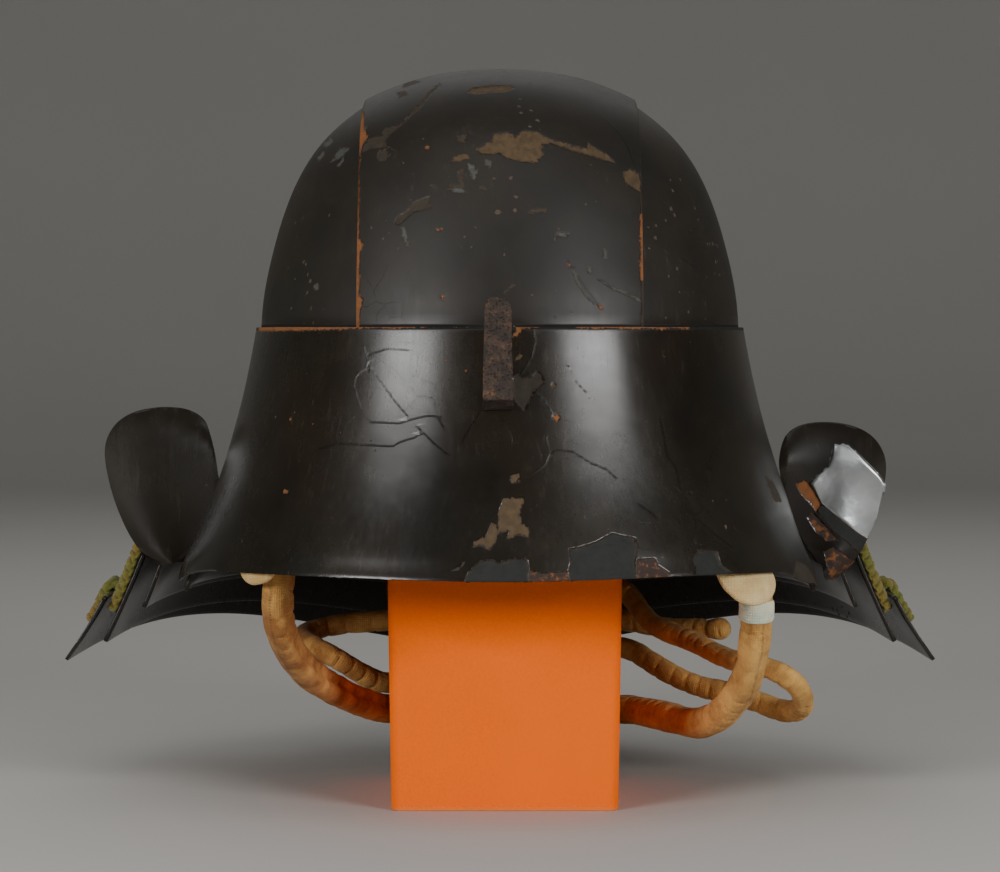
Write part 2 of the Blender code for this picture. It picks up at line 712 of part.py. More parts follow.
def top_lame(row):
    """Top neck plate with its two front ends turned outward as ear flaps."""
    right_columns, shares = flap_columns(row, 1.0, RIGHT_FLAP_RAISE, RIGHT_FLAP_INSET)
    left_columns, _ = flap_columns(row, -1.0, LEFT_FLAP_RAISE, 0.0)
    body = [[lame_point(row, signed(angle), share) for share in shares] for angle in lame_angles()]
    outer = np.array(right_columns[::-1] + body + left_columns)
    forward = np.array([0.0, -1.0, 0.0])
    ways = np.tile(forward, (*outer.shape[:2], 1))
    ways[FLAP_STEPS:-FLAP_STEPS] = -outward_normals(np.array(body))
    ways[FLAP_STEPS] += forward
    ways[-FLAP_STEPS - 1] += forward
    inner = outer + ways * LAME_PLATE
    return plate_from_grids(row[0], outer, inner, IRON)


def strap(name, row, above, angle, drop):
    """Lacing strap that rises between two neck plates and lies down the lower one's outer face."""
    turn = signed(angle)
    half = STRAP_THICKNESS / 2.0
    reach = half + STRAP_GAP

    def frame_at(plate, share):
        point = lame_point(plate, turn, share)
        ahead = lame_point(plate, signed(angle + 0.5), share)
        up = lame_point(plate, turn, share + 0.02) - point
        along = ahead - point
        if signed(angle + 0.5) * turn < 0.0:
            along = -(lame_point(plate, signed(angle - 0.5), share) - point)
        along /= np.linalg.norm(along)
        up /= np.linalg.norm(up)
        out = np.cross(along, up)
        out /= np.linalg.norm(out)
        if out.dot(point - np.array([0.0, NECK_CENTRE_Y, point[2]])) < 0.0:
            out = -out
        return point, along, up, out

    top, along, up, out = frame_at(row, 1.0)
    inside = top - out * (LAME_PLATE + reach + 0.3 * MM)
    over = up * (reach + 0.2 * MM)
    heights = [lame_point(above, turn, s / 40.0)[2] for s in range(41)]
    hung_share = float(np.interp(top[2] - STRAP_INSIDE, heights, [s / 40.0 for s in range(41)]))
    hung, _, _, hung_out = frame_at(above, min(hung_share, 0.93))
    hung = hung + hung_out * (half + STRAP_HANG_GAP)
    hung = hung + along * (inside - hung).dot(along)
    centres = [
        hung,
        inside + up * 0.2 * MM,
        top - out * (LAME_PLATE + reach * 0.6) + over,
        top + out * (reach * 0.6) + over,
    ]
    outs = [up * 0.3 - out, up * 0.35 - out, up - out * 0.5, up + out * 0.5]
    outs = [facing / np.linalg.norm(facing) for facing in outs]
    for share in (0.98, 0.75, 0.55):
        if share > drop:
            point, _, _, normal = frame_at(row, share)
            centres.append(point + normal * (reach + 0.1 * MM))
            outs.append(normal)
    point, _, _, normal = frame_at(row, drop)
    centres.append(point + normal * (reach + 0.1 * MM))
    outs.append(normal)
    vertices = []
    faces = []
    for centre, facing in zip(centres, outs):
        for across, away in ((-1, -1), (1, -1), (1, 1), (-1, 1)):
            vertices.append(centre + along * (across * STRAP_WIDTH / 2.0) + facing * (away * half))
    count = len(centres)
    for i in range(count - 1):
        for k in range(4):
            a = i * 4 + k
            b = i * 4 + (k + 1) % 4
            faces.append((a, b, b + 4, a + 4))
    faces.append((3, 2, 1, 0))
    faces.append(tuple((count - 1) * 4 + k for k in range(4)))
    return add_mesh(name, vertices, faces, LACE)


def lacing():
    """Columns of straps round the neck guard."""
    plates = {row[0]: row for row in LAMES}
    for column, angle in enumerate(STRAP_ANGLES, start=1):
        for number, (above, below, front_drop, back_drop) in enumerate(STRAP_DROP, start=1):
            toward_front = -1.0 if angle < 180.0 else 1.0
            stagger = STRAP_STAGGER * toward_front * (1.0 if number == 2 else -0.6)
            placed = angle + stagger
            drop = front_drop + (back_drop - front_drop) * smooth_share((abs(signed(placed)) - 90.0) / 90.0)
            strap("lacing_%d%d" % (column, number), plates[below], plates[above], placed, drop)


def stand_top_z():
    """Height at which the card box's top corners reach the bowl from inside."""
    cut_corner = STAND_EDGE_RADIUS * (1.0 - math.sqrt(0.5))
    corner_x = STAND_X + STAND_TOP_WIDTH / 2.0 - cut_corner
    corner_y = -STAND_DEPTH / 2.0 + cut_corner
    low = BOWL_BASE_Z
    high = BOWL_BASE_Z + BOWL_HEIGHT
    for _ in range(40):
        middle = (low + high) / 2.0
        corner = np.array([corner_x, corner_y, middle])
        reach = corner + bowl_normal(corner) * (BOWL_PLATE + STAND_TOP_GAP)
        if bowl_excess(*reach) < 0.0:
            low = middle
        else:
            high = middle
    return low


def stand():
    """Card box, upright, a little narrower at its foot, with rounded upright edges."""
    rings = []
    for height, width in ((0.0, STAND_FOOT_WIDTH), (stand_top_z(), STAND_TOP_WIDTH)):
        ring = []
        for quarter in range(4):
            for step in range(4):
                turn = math.pi / 2.0 * quarter + math.pi / 6.0 * step
                side_x = 1.0 if quarter in (0, 3) else -1.0
                side_y = 1.0 if quarter in (0, 1) else -1.0
                x = side_x * (width / 2.0 - STAND_EDGE_RADIUS) + STAND_EDGE_RADIUS * math.cos(turn)
                y = side_y * (STAND_DEPTH / 2.0 - STAND_EDGE_RADIUS) + STAND_EDGE_RADIUS * math.sin(turn)
                ring.append((x + STAND_X, y, height))
        rings.append(ring)
    count = len(rings[0])
    faces = [tuple(range(count))[::-1], tuple(range(count, 2 * count))]
    for i in range(count):
        j = (i + 1) % count
        faces.append((i, j, count + j, count + i))
    return add_mesh("stand", rings[0] + rings[1], faces, CARD)


def smooth_path(route, step):
    """Evenly spaced points on a smooth curve through a route given in mm."""
    points = np.array(route, dtype=float) * MM
    padded = np.vstack([2 * points[0] - points[1], points, 2 * points[-1] - points[-2]])
    fine = []
    for i in range(1, len(padded) - 2):
        before, start, end, after = padded[i - 1:i + 3]
        for k in range(24):
            t = k / 24.0
            fine.append(0.5 * (2 * start + (end - before) * t + (2 * before - 5 * start + 4 * end - after) * t**2
                               + (3 * start - before - 3 * end + after) * t**3))
    fine.append(points[-1])
    even = evenly_spaced(np.array(fine), CORD_EASING_STEP)
    for _ in range(CORD_EASING_PASSES):
        even[1:-1] = 0.25 * even[:-2] + 0.5 * even[1:-1] + 0.25 * even[2:]
    return evenly_spaced(even, step)


def evenly_spaced(points, step):
    """Points at even distances along a line of points, both ends kept."""
    lengths = np.concatenate([[0.0], np.cumsum(np.linalg.norm(np.diff(points, axis=0), axis=1))])
    count = max(2, int(round(lengths[-1] / step)))
    places = np.linspace(0.0, lengths[-1], count + 1)
    return np.array([[np.interp(p, lengths, points[:, axis]) for axis in range(3)] for p in places])


def cord(name, route, diameter):
    """Round cord as a curve with capped ends."""
    points = smooth_path(route, diameter * CORD_STEP_DIAMETERS)
    curve = bpy.data.curves.new(name, "CURVE")
    curve.dimensions = "3D"
    curve.bevel_depth = diameter / 2.0
    curve.bevel_resolution = 3
    curve.use_fill_caps = True
    spline = curve.splines.new("POLY")
    spline.points.add(len(points) - 1)
    for spot, point in zip(spline.points, points):
        spot.co = (*(float(c) for c in point), 1.0)
    curve.materials.append(new_material(name, CLOTH))
    part = bpy.data.objects.new(name, curve)
    bpy.context.scene.collection.objects.link(part)
    return part


def cord_tab(name, angle, height, half_length, half_thickness, half_height):
    """Oval cloth pad flat against the brow plate's inner face, its lower part below the rim."""
    share = 0.02
    wall = brow_point(angle, share)
    above = brow_point(angle, share + 0.08)
    beside = brow_point(angle + 1.0, share)
    along = beside - wall
    along /= np.linalg.norm(along)
    up = above - wall
    up /= np.linalg.norm(up)
    inward = np.cross(along, up)
    inward /= np.linalg.norm(inward)
    if inward.dot(np.array([-wall[0], -wall[1], 0.0])) < 0.0:
        inward = -inward
    up = np.cross(inward, along)
    if up[2] < 0.0:
        up = -up
    middle = wall + up * (height * MM - wall[2]) + inward * (BROW_PLATE + TAB_GAP + half_thickness * MM)
    around = 14
    rings = 6
    vertices = [middle - up * (half_height * MM)]
    for ring in range(1, rings):
        tilt = math.pi * ring / rings - math.pi / 2.0
        for i in range(around):
            turn = 2.0 * math.pi * i / around
            flat = along * (half_length * math.cos(turn)) + inward * (half_thickness * math.sin(turn))
            vertices.append(middle + flat * (math.cos(tilt) * MM) + up * (math.sin(tilt) * half_height * MM))
    vertices.append(middle + up * (half_height * MM))
    faces = []
    for i in range(around):
        j = (i + 1) % around
        faces.append((0, 1 + j, 1 + i))
        for ring in range(rings - 2):
            a = 1 + ring * around
            faces.append((a + i, a + j, a + around + j, a + around + i))
        last = 1 + (rings - 2) * around
        faces.append((last + i, last + j, len(vertices) - 1))
    return add_mesh(name, vertices, faces, CLOTH)


def clear_scene():
    """Remove whatever the new file starts with."""
    for item in list(bpy.data.objects):
        bpy.data.objects.remove(item, do_unlink=True)


def main():
    clear_scene()
    stand()
    crown_plate()
    side_plate("side_plate_left", -1.0)
    side_plate("side_plate_right", 1.0)
    brow_plate()
    base_band()
    crest_hook()
    top_lame(LAMES[0])
    for row in LAMES[1:]:
        neck_lame(row)
    lacing()
    cord("chin_cord", CHIN_CORD_ROUTE, CHIN_CORD_DIAMETER)
    cord("back_cord", BACK_CORD_ROUTE, BACK_CORD_DIAMETER)
    for row in TABS:
        cord_tab(*row)


main()
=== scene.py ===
"""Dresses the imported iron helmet, its lacing, cords and card stand, and sets the studio round it."""
import math

import bmesh
import bpy
import numpy as np
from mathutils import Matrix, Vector, noise
from mathutils.bvhtree import BVHTree
from mathutils.kdtree import KDTree


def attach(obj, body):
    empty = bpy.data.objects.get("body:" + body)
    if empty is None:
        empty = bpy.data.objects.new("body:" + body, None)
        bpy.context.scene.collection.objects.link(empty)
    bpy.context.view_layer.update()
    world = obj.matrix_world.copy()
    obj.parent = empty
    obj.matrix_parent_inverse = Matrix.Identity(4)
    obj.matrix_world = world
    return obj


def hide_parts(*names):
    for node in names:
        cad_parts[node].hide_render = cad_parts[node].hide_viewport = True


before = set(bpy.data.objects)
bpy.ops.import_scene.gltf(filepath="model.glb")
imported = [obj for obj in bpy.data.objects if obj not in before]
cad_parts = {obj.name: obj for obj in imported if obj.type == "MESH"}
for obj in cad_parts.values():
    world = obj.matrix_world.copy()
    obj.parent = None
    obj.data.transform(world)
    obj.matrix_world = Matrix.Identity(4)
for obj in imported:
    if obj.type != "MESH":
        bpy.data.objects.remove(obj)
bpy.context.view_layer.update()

bl_info = {
    "name": "Kabuto helmet on a card stand",
    "version": (1, 0, 0),
    "blender": (4, 5, 0),
    "location": "3D View > Sidebar > Helmet",
    "description": "Builds the lacquered plates, lacing, cords, card stand and studio of an old iron helmet",
    "category": "Add Mesh",
}

MM = 0.001

# The photograph's viewpoint, its width in pixels, and the pixels for a slope of 1 from the line of sight
PHOTO_CENTRE = (500.0, 436.0)
CAMERA_DISTANCE = 1.25
CAMERA_ELEVATION = 2.0
CAMERA_TARGET_Z = 0.154
PHOTO_WIDTH = 1000.0
PIXELS_PER_SLOPE = 2912.0
SENSOR_WIDTH = 36.0
# One pixel in mm where the worn front stands, this far before the helmet's middle
FRONT_DEPTH = 0.12
PIXEL_MM = 1000.0 * (CAMERA_DISTANCE - FRONT_DEPTH) / PIXELS_PER_SLOPE

# CAD node of each plate: its fine piece, the reach and drop in mm of its rolled edge, and its edges' crease
PLATES = {
    "crown_plate": ("crown_plate_lacquered", 0.0, 0.0, 0.55),
    "side_plate_left": ("side_plate_left_lacquered", 0.0, 0.0, 0.55),
    "side_plate_right": ("side_plate_right_lacquered", 0.0, 0.0, 0.55),
    "brow_plate": ("brow_plate_lacquered", 1.3, 0.55, 1.0),
    "base_band": ("base_band_lacquered", 0.0, 0.0, 0.55),
    "neck_lame_1": ("neck_plate_1_with_flaps", 2.2, 0.9, 1.0),
    "neck_lame_2": ("neck_plate_2", 0.0, 0.0, 0.55),
    "neck_lame_3": ("neck_plate_3", 0.0, 0.0, 0.55),
    "neck_lame_4": ("neck_plate_4", 0.0, 0.0, 0.55),
}
PLATE_LEVELS = 3
# Edges folded by more than this many degrees stay nearly sharp
SHARP_ANGLE = 40.0
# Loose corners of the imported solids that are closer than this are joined
MERGE_DISTANCE = 0.004 * MM
# Faint waves of a hammered plate: height in mm and waves in a metre
HAMMER_WAVES = ((0.16, 26.0), (0.035, 85.0))
# The same for the rusted bar, which also lost this much of its skin in mm
RUST_WAVES = ((0.16, 260.0), (0.10, 900.0))
RUST_LOSS = 0.06
# The brow plate's lower corners, at the ends of its rim, are round: past this far out and below this height
BROW_CORNER_X = 0.118
BROW_CORNER_Z = 0.108
BROW_CORNER_CREASE = 0.2
# An edge is turned back below this height and before this depth, where it faces out of the helmet's middle
ROLLED_BELOW_Z = 0.170
ROLLED_BEFORE_Y = 0.016
HELMET_MIDDLE_Y = 0.003
OUTWARD_SHARE = 0.45
RIM_POINT_GAP = 0.8 * MM
RIM_SPLIT_SHARE = 0.65
# The right end of the brow plate's rim is moved to its place in the photograph: centre, reach and move in mm
RIM_END_MOVES = (
    ((130.0, -4.0, 93.0), 40.0, (-3.8, 0.0, 0.0)),
    ((118.0, -52.0, 98.0), 30.0, (0.0, 0.0, -3.2)),
)
# The brow plate's flare goes on down to its rim: how far up from the rim it is bent out, by how much, and
# over what length that fades out towards the corners
RIM_FLARE_REACH = 0.0068
RIM_FLARE = 0.0011
RIM_FLARE_FADE = 0.02
# The turned-back flaps lie from this far out and between these heights. How much flatter than the solid their
# front is, half their width and height, over what height that fades in, and the furthest that a place moves
FLAP_X = (0.1180, 0.1240)
FLAP_Z = (0.098, 0.170)
FLAP_FLATTENING = 0.60
FLAP_HALF_SIZE = (0.02, 0.03)
FLAP_FADE_HEIGHT = 0.008
FLAP_MOST_MOVED = 0.004

# The white band round the chin cord, under the right tab: its heights, how far it stands off the cord, which
# side of the helmet it is on, and its rings' spacing
BAND_TOP_Z = 0.0900
BAND_FOOT_Z = 0.0812
BAND_PROUD = 0.0005
BAND_RIGHT_OF_X = 0.09
BAND_STEP = 0.6 * MM

# What lies bare inside a worn outline, as a share of the ramp of the lacquer material
PRIMER = 0.0
DULL = 0.2
SLATE = 0.4
ASH = 0.5
RUSTY = 0.6
ORANGE = 0.8
STEEL = 1.0

# Each plate's worn places, traced in the photograph's pixels: what lies bare, depth in mm, corners
WORN = {
    "crown_plate": (
        (PRIMER, 0.30, (
            (476, 149), (492, 141), (493, 134), (508, 132), (514, 137), (525, 130), (537, 132), (550, 139),
            (571, 145), (587, 149), (588, 143), (599, 150), (609, 156), (616, 163), (601, 159), (578, 152),
            (550, 143), (542, 145), (543, 154), (537, 162), (525, 162), (507, 158), (499, 153), (491, 154),
            (481, 154))),
        (PRIMER, 0.25, (
            (467, 92), (472, 88), (491, 85.5), (511, 85.5), (515, 88), (504, 92), (490, 92), (477, 94))),
        (DULL, 0.20, (
            (440, 83), (429, 92), (424, 99), (415, 108), (407, 117), (399, 125), (385, 128), (382, 135),
            (368, 140), (363, 146), (362, 152), (372, 148), (385, 147), (397, 152), (387, 145), (384, 141),
            (392, 132), (401, 125), (410, 117), (420, 108), (429, 96), (441, 85))),
        (DULL, 0.25, (
            (430, 196), (414, 202), (409, 209), (397, 217), (394, 223), (399, 225), (407, 218), (413, 212),
            (431, 208), (429, 203))),
        (PRIMER, 0.15, ((450, 162), (455, 157), (468, 154), (471, 157), (462, 161))),
        (DULL, 0.15, (
            (457, 171), (464, 169), (462, 178), (466, 189), (455, 188), (448, 191), (449, 185), (459, 184))),
        (DULL, 0.15, ((477, 185), (491, 189), (482, 190))),
        (DULL, 0.15, ((456, 137), (466, 135), (467, 140), (461, 143))),
        (DULL, 0.15, ((377, 154), (390, 155), (384, 162), (378, 160))),
        (DULL, 0.15, ((527, 213.5), (532, 209.5), (547, 209), (546, 212))),
        (ASH, 0.12, ((554, 241), (557, 232), (569, 233), (567, 237), (558, 236))),
        (PRIMER, 0.20, ((623, 172), (631, 169), (640, 174), (640, 192), (634, 189), (625, 182))),
        (DULL, 0.15, ((503, 292.5), (514, 283), (515.5, 284.5), (505, 294))),
        (ASH, 0.08, ((572, 271), (575, 268), (580, 283), (590, 298), (599, 307), (587, 298), (577, 284))),
        (ASH, 0.08, (
            (600, 280.5), (613, 286), (627, 292), (641, 299), (640, 301.5), (625, 294.5), (611, 288.5))),
        (ORANGE, 0.30, (
            (345, 330), (347, 180), (351, 125), (357, 110), (364, 112), (364, 128), (368, 137), (362, 146),
            (360, 158), (359.2, 200), (359.2, 238), (363, 244), (359.6, 254), (359.2, 296), (363.4, 299),
            (359.8, 312), (359, 330))),
        (ORANGE, 0.25, (
            (650, 212), (640.6, 214), (639.6, 232), (640.8, 250), (639.4, 262), (640.4, 281), (650, 282))),
        (DULL, 0.20, ((650, 106), (638, 108), (640.4, 130), (641.2, 168), (640.6, 213), (650, 213))),
        (DULL, 0.15, ((650, 281), (641, 281), (641.6, 305), (640.8, 328), (650, 328))),
        (DULL, 0.15, ((404, 83), (413, 80), (420, 82), (410, 86), (402, 88))),
        (DULL, 0.15, ((397, 93), (405, 91), (408, 95), (399, 99))),
        (DULL, 0.15, ((378, 150), (386, 149), (389, 155), (384, 162), (377, 160))),
        (ASH, 0.08, ((401, 226), (405, 229), (408, 240), (410, 247), (406, 246), (402, 236))),
        (ASH, 0.12, ((468, 164), (474, 165), (478, 172), (474, 180), (470, 174))),
        (ASH, 0.12, ((446, 189), (455, 186), (464, 189), (468, 193), (455, 192))),
        (ASH, 0.12, ((486, 160), (492, 162), (490, 167), (485, 164))),
        (ASH, 0.12, ((603, 249), (606, 250), (607, 260), (604, 258))),
        (ASH, 0.08, ((588, 266), (593, 268), (591, 274), (587, 272))),
        (ORANGE, 0.12, ((441, 294.5), (444.5, 295), (443.5, 300), (440.5, 298.5))),
        (ORANGE, 0.12, ((425, 146), (429, 146), (430, 150), (426, 150.5))),
        (ORANGE, 0.12, ((436, 229), (442, 228.4), (442, 230.6), (437, 231))),
        (ORANGE, 0.12, ((598, 305.5), (602, 305), (603.5, 308.5), (600, 310))),
        (ORANGE, 0.12, ((568, 264), (571.5, 264.5), (571, 268), (568.5, 267.5))),
    ),
    "side_plate_left": (
        (ASH, 0.12, ((313, 286), (318, 284), (319, 288), (315, 291))),
        (ASH, 0.12, ((337, 164), (343, 158), (345, 160), (339, 167))),
        (ASH, 0.12, ((317, 158), (323, 151), (325, 153), (319, 161))),
        (ASH, 0.15, ((331, 162), (340, 148), (350, 148), (342, 157))),
        (ASH, 0.15, ((323, 143), (331, 138), (334, 141), (326, 147))),
    ),
    "brow_plate": (
        (ORANGE, 0.20, (
            (258, 320), (482, 319), (482, 325), (460, 327), (430, 326.4), (400, 328.5), (370, 328),
            (330, 330), (300, 330.6), (258, 331.6))),
        (ORANGE, 0.20, (
            (514, 320), (542, 320), (541, 327), (523, 328), (520, 334), (513, 338), (513, 335), (517, 331))),
        (ORANGE, 0.15, (
            (574, 320), (690, 320), (690, 329), (672, 328), (662, 330), (648, 328), (630, 329.5), (612, 328),
            (596, 329), (574, 327.5))),
        (DULL, 0.35, (
            (513, 378), (517, 375), (524, 378), (532, 377), (537, 372), (541, 375), (544, 382), (535, 390),
            (530, 400), (524, 411), (518, 404), (513, 397))),
        (PRIMER, 0.15, ((516, 360), (519, 354), (523, 355), (521, 360))),
        (SLATE, 0.60, (
            (465, 592), (465, 579), (469, 571), (479, 562), (492, 559), (498, 563), (510, 559), (528, 559),
            (529, 570), (528, 592))),
        (RUSTY, 0.40, ((528, 571), (544, 573), (568, 571), (575, 592), (529, 592))),
        (SLATE, 0.60, (
            (569, 549), (580, 547), (596, 542), (612, 533), (620, 535), (635, 538), (637, 543), (635, 562),
            (637, 576), (637, 592), (570, 592), (569, 571), (571, 562))),
        (RUSTY, 0.40, ((637, 559), (655, 558), (658, 565), (669, 572), (666, 592), (637, 592))),
        (SLATE, 0.60, (
            (692, 559), (698, 550), (717, 551), (721, 565), (736, 576), (734, 592), (697, 592), (696, 568))),
        (PRIMER, 0.35, (
            (504, 498), (524, 498), (522, 505), (519, 516), (522, 524), (529, 528), (528, 537), (518, 534),
            (507, 539), (510, 530), (498, 533), (496, 540), (489, 550), (481, 545), (472, 547), (475, 541),
            (486, 536), (492, 522), (498, 528), (499, 510))),
        (PRIMER, 0.20, ((510, 476), (519, 474), (519, 482), (512, 483))),
        (DULL, 0.20, ((452, 571), (466, 561), (459, 570))),
        (ORANGE, 0.20, ((552, 416), (557, 414), (560, 418), (556, 422))),
        (PRIMER, 0.15, ((551, 385), (554, 383), (556, 386), (553, 388))),
        (ORANGE, 0.15, ((284, 489), (288, 490), (287, 494), (283, 493))),
        (DULL, 0.20, (
            (796, 560), (806, 565), (814, 577), (818, 590), (806, 600), (793, 594), (788, 586), (794, 576))),
        (DULL, 0.10, ((765, 476), (773, 482), (782, 502), (774, 502), (769, 488))),
    ),
    "neck_lame_1": (
        (STEEL, -0.55, (
            (834, 444), (848, 445), (856, 452), (865, 461), (878, 474), (889, 489), (886, 512), (875, 544),
            (858, 534), (843, 522), (831, 513), (821, 504), (810, 483), (818, 475), (828, 467), (832, 455))),
        (SLATE, -0.30, (
            (817, 511), (822, 505), (843, 522), (875, 544), (871, 556), (864, 557), (848, 543), (830, 528))),
        (ORANGE, 0.35, ((796, 484), (805, 480), (812, 487), (822, 504), (816, 511), (809, 502), (801, 494))),
        (RUSTY, 0.35, ((807, 517), (814, 513), (826, 526), (838, 540), (827, 541), (816, 532))),
        (RUSTY, 0.30, ((824, 552), (834, 547), (860, 565), (862, 577), (850, 594), (838, 590), (829, 574))),
    ),
}

# Wear and cracks are measured up to this many mm from their lines
WEAR_REACH = 5.0
CRACK_REACH = 1.6
# Faces this near to a worn outline in mm are split, in one pass for each
WEAR_SPLITS = (1.1, 0.55)
# The photograph shows no wear behind this depth
WORN_BEFORE_Y = 0.05
# Crumpling of the bare flake: height in mm and folds in a metre
FLAKE_RELIEF = 0.95
FLAKE_FOLDS = 75.0

# Cracks in each plate's lacquer, in the photograph's pixels
CRACKS = {
    "brow_plate": (
        ((364, 349), (368, 365), (394, 402), (413.5, 424.6), (433, 444), (447, 455)),
        (
            (368, 366), (356, 374), (353, 385), (359.5, 406.6), (369, 423), (400, 424.6), (413.5, 420),
            (428, 417), (440, 418)),
        ((320, 449), (338, 444), (364, 446), (394, 447.5), (399, 443.6), (417, 438), (422, 433)),
        ((369, 356), (387, 350), (407, 351)),
        ((438, 421), (443, 428)),
        ((479, 413), (470, 427), (462.5, 439)),
        ((533, 328), (534.5, 342), (532.5, 353), (527.5, 364), (520.5, 374)),
        ((535, 392), (543, 400), (551, 411)),
        ((569, 369), (575, 382), (587, 395)),
        ((557, 451), (572, 452.4), (590, 464), (606, 470.4), (616, 479.5)),
        ((546, 438), (549, 454), (544, 465.5), (531, 474)),
        ((660, 421), (667, 457), (675, 467), (680, 490)),
        ((698, 520), (712, 532), (722, 540), (731, 546)),
        ((639, 506), (650, 513), (656, 519)),
    ),
    "crown_plate": (
        ((568, 262), (577, 276), (586, 290), (600, 308)),
        ((600, 281), (612, 287), (626, 293), (641, 300)),
        ((606, 120), (620, 134), (628, 148), (634, 166)),
    ),
    "side_plate_right": (
        ((680, 258), (690, 264), (697, 268)),
    ),
}

# Places where the lacquer is crazed, in the photograph's pixels: plate, centre and reach
CRAZED = (
    ("brow_plate", (408, 405), 70.0),
    ("brow_plate", (570, 425), 70.0),
    ("brow_plate", (620, 560), 60.0),
    ("brow_plate", (700, 530), 60.0),
    ("brow_plate", (250, 545), 60.0),
    ("crown_plate", (605, 290), 60.0),
    ("crown_plate", (380, 305), 45.0),
    ("crown_plate", (450, 170), 60.0),
)

# Places where handling has dulled the lacquer, in the photograph's pixels: plate, centre and reach
DULLED = (
    ("brow_plate", (778, 480), 75.0),
    ("brow_plate", (790, 540), 60.0),
)

# Places in mm along the middle of each cord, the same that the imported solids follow
CHIN_CORD_ROUTE = (
    (-88.0, -80.6, 112.0),
    (-88.7, -81.8, 103.0),
    (-89.2, -83.0, 94.9),
    (-89.6, -82.0, 89.3),
    (-89.4, -80.0, 82.7),
    (-87.6, -72.0, 73.7),
    (-83.6, -54.0, 63.6),
    (-78.4, -32.0, 54.4),
    (-71.1, -6.0, 45.7),
    (-62.4, 26.0, 36.5),
    (-50.8, 56.0, 29.1),
    (-30.0, 71.0, 25.0),
    (2.0, 75.0, 23.0),
    (34.0, 71.0, 25.5),
    (55.9, 58.0, 28.9),
    (66.6, 38.0, 29.7),
    (75.3, 20.0, 29.8),
    (84.9, 0.0, 29.9),
    (92.1, -18.0, 35.3),
    (97.5, -35.0, 43.8),
    (101.8, -49.0, 53.9),
    (103.7, -59.0, 66.2),
    (104.4, -66.0, 77.9),
    (104.4, -67.3, 87.8),
    (104.4, -67.9, 96.5),
    (103.6, -67.0, 108.0),
)
BACK_CORD_ROUTE = (
    (24.5, 132.5, 102.0),
    (34.0, 112.0, 95.0),
    (57.8, 94.0, 79.5),
    (67.9, 74.0, 66.6),
    (76.1, 58.0, 63.7),
    (84.6, 44.0, 61.5),
    (93.4, 30.0, 58.1),
    (100.6, 15.0, 55.8),
    (108.8, 4.0, 55.3),
    (117.7, -3.0, 54.0),
    (126.1, 0.0, 48.9),
    (131.8, 9.0, 41.3),
    (132.8, 22.0, 33.5),
    (126.5, 34.0, 30.2),
    (115.5, 40.0, 34.3),
    (104.5, 46.0, 37.6),
    (93.3, 52.0, 38.6),
    (81.2, 60.0, 42.2),
    (68.3, 72.0, 48.5),
    (56.1, 86.0, 54.3),
    (20.0, 102.0, 50.0),
    (-20.0, 98.0, 42.0),
    (-51.8, 80.0, 37.5),
    (-64.8, 66.0, 45.1),
    (-74.4, 59.0, 52.3),
    (-83.6, 62.0, 56.5),
    (-89.9, 75.0, 58.3),
    (-90.0, 91.0, 59.8),
    (-82.8, 102.0, 61.5),
    (-70.0, 105.0, 63.5),
    (-52.8, 108.0, 63.7),
    (-20.0, 113.0, 68.0),
    (20.0, 112.0, 67.0),
    (54.0, 100.0, 65.5),
    (77.3, 86.0, 62.2),
    (87.7, 77.0, 63.1),
    (97.3, 71.0, 63.7),
    (104.3, 67.0, 64.1),
)
CORD_EASING_STEP = 2.0 * MM
CORD_EASING_PASSES = 26
CORD_STEP = 0.8 * MM
CORD_AROUND = 40
# The padded cords: how wide a fold is in radians, the pinches' spacing in diameters and their depths as
# shares of the radius, and how far from its end a cord begins to close, in diameters
FOLD_WIDTH = 0.45
PINCH_SPACING = 0.85
PINCH_DEPTH = 0.16
PINCH_DEPTH_IN_BEND = 0.26
CORD_END = 0.45

# A packed strap's end faces are thinner and wider than these, which tells them from its other faces
STRAP_THINNER = 0.0026
STRAP_WIDER = 0.0085
# The braid built along a strap, as thick as this where the plates leave room
BRAID_HALF_THICKNESS = 4.1 * MM
BRAID_STEP = 0.6 * MM
BRAID_AROUND = 26
BRAID_LOOKS_AHEAD = 6.0 * MM
BRAID_CLEARANCE = 0.25 * MM
BRAID_END = 1.6 * MM

# The floor beyond its flat middle: radius and height of each ring
FLOOR_RADIUS = 1.5
FLOOR_RINGS = ((2.6, 0.0), (3.1, 0.06), (3.5, 0.25), (3.8, 0.62), (3.95, 1.3), (4.0, 2.2))
# Soft boxes, aimed at the helmet: degrees to the right and up, distance, power, and width and height
LIGHTS = (
    ("soft_box_left", -43.0, 11.5, 1.45, 12.5, (0.60, 0.30)),
    ("soft_box_right", 43.0, 11.5, 1.45, 12.5, (0.60, 0.30)),
    ("soft_box_front", 0.0, 58.0, 1.8, 7.0, (1.8, 0.8)),
    ("soft_box_back", 180.0, 40.0, 1.8, 3.2, (1.6, 0.8)),
)
LIGHT_AIM_Z = 0.16
AIR_STRENGTH = 0.30

# A Mix node of colours: its output and its settings
COLOUR_MIX = {"output": 2, "data_type": "RGBA"}
COLOUR_PRODUCT = {"output": 2, "data_type": "RGBA", "blend_type": "MULTIPLY"}


def linear(colour):
    """Linear colour with alpha from an sRGB hex value."""
    channels = [int(colour[i:i + 2], 16) / 255.0 for i in (0, 2, 4)]
    return (*[c / 12.92 if c <= 0.04045 else ((c + 0.055) / 1.055) ** 2.4 for c in channels], 1.0)


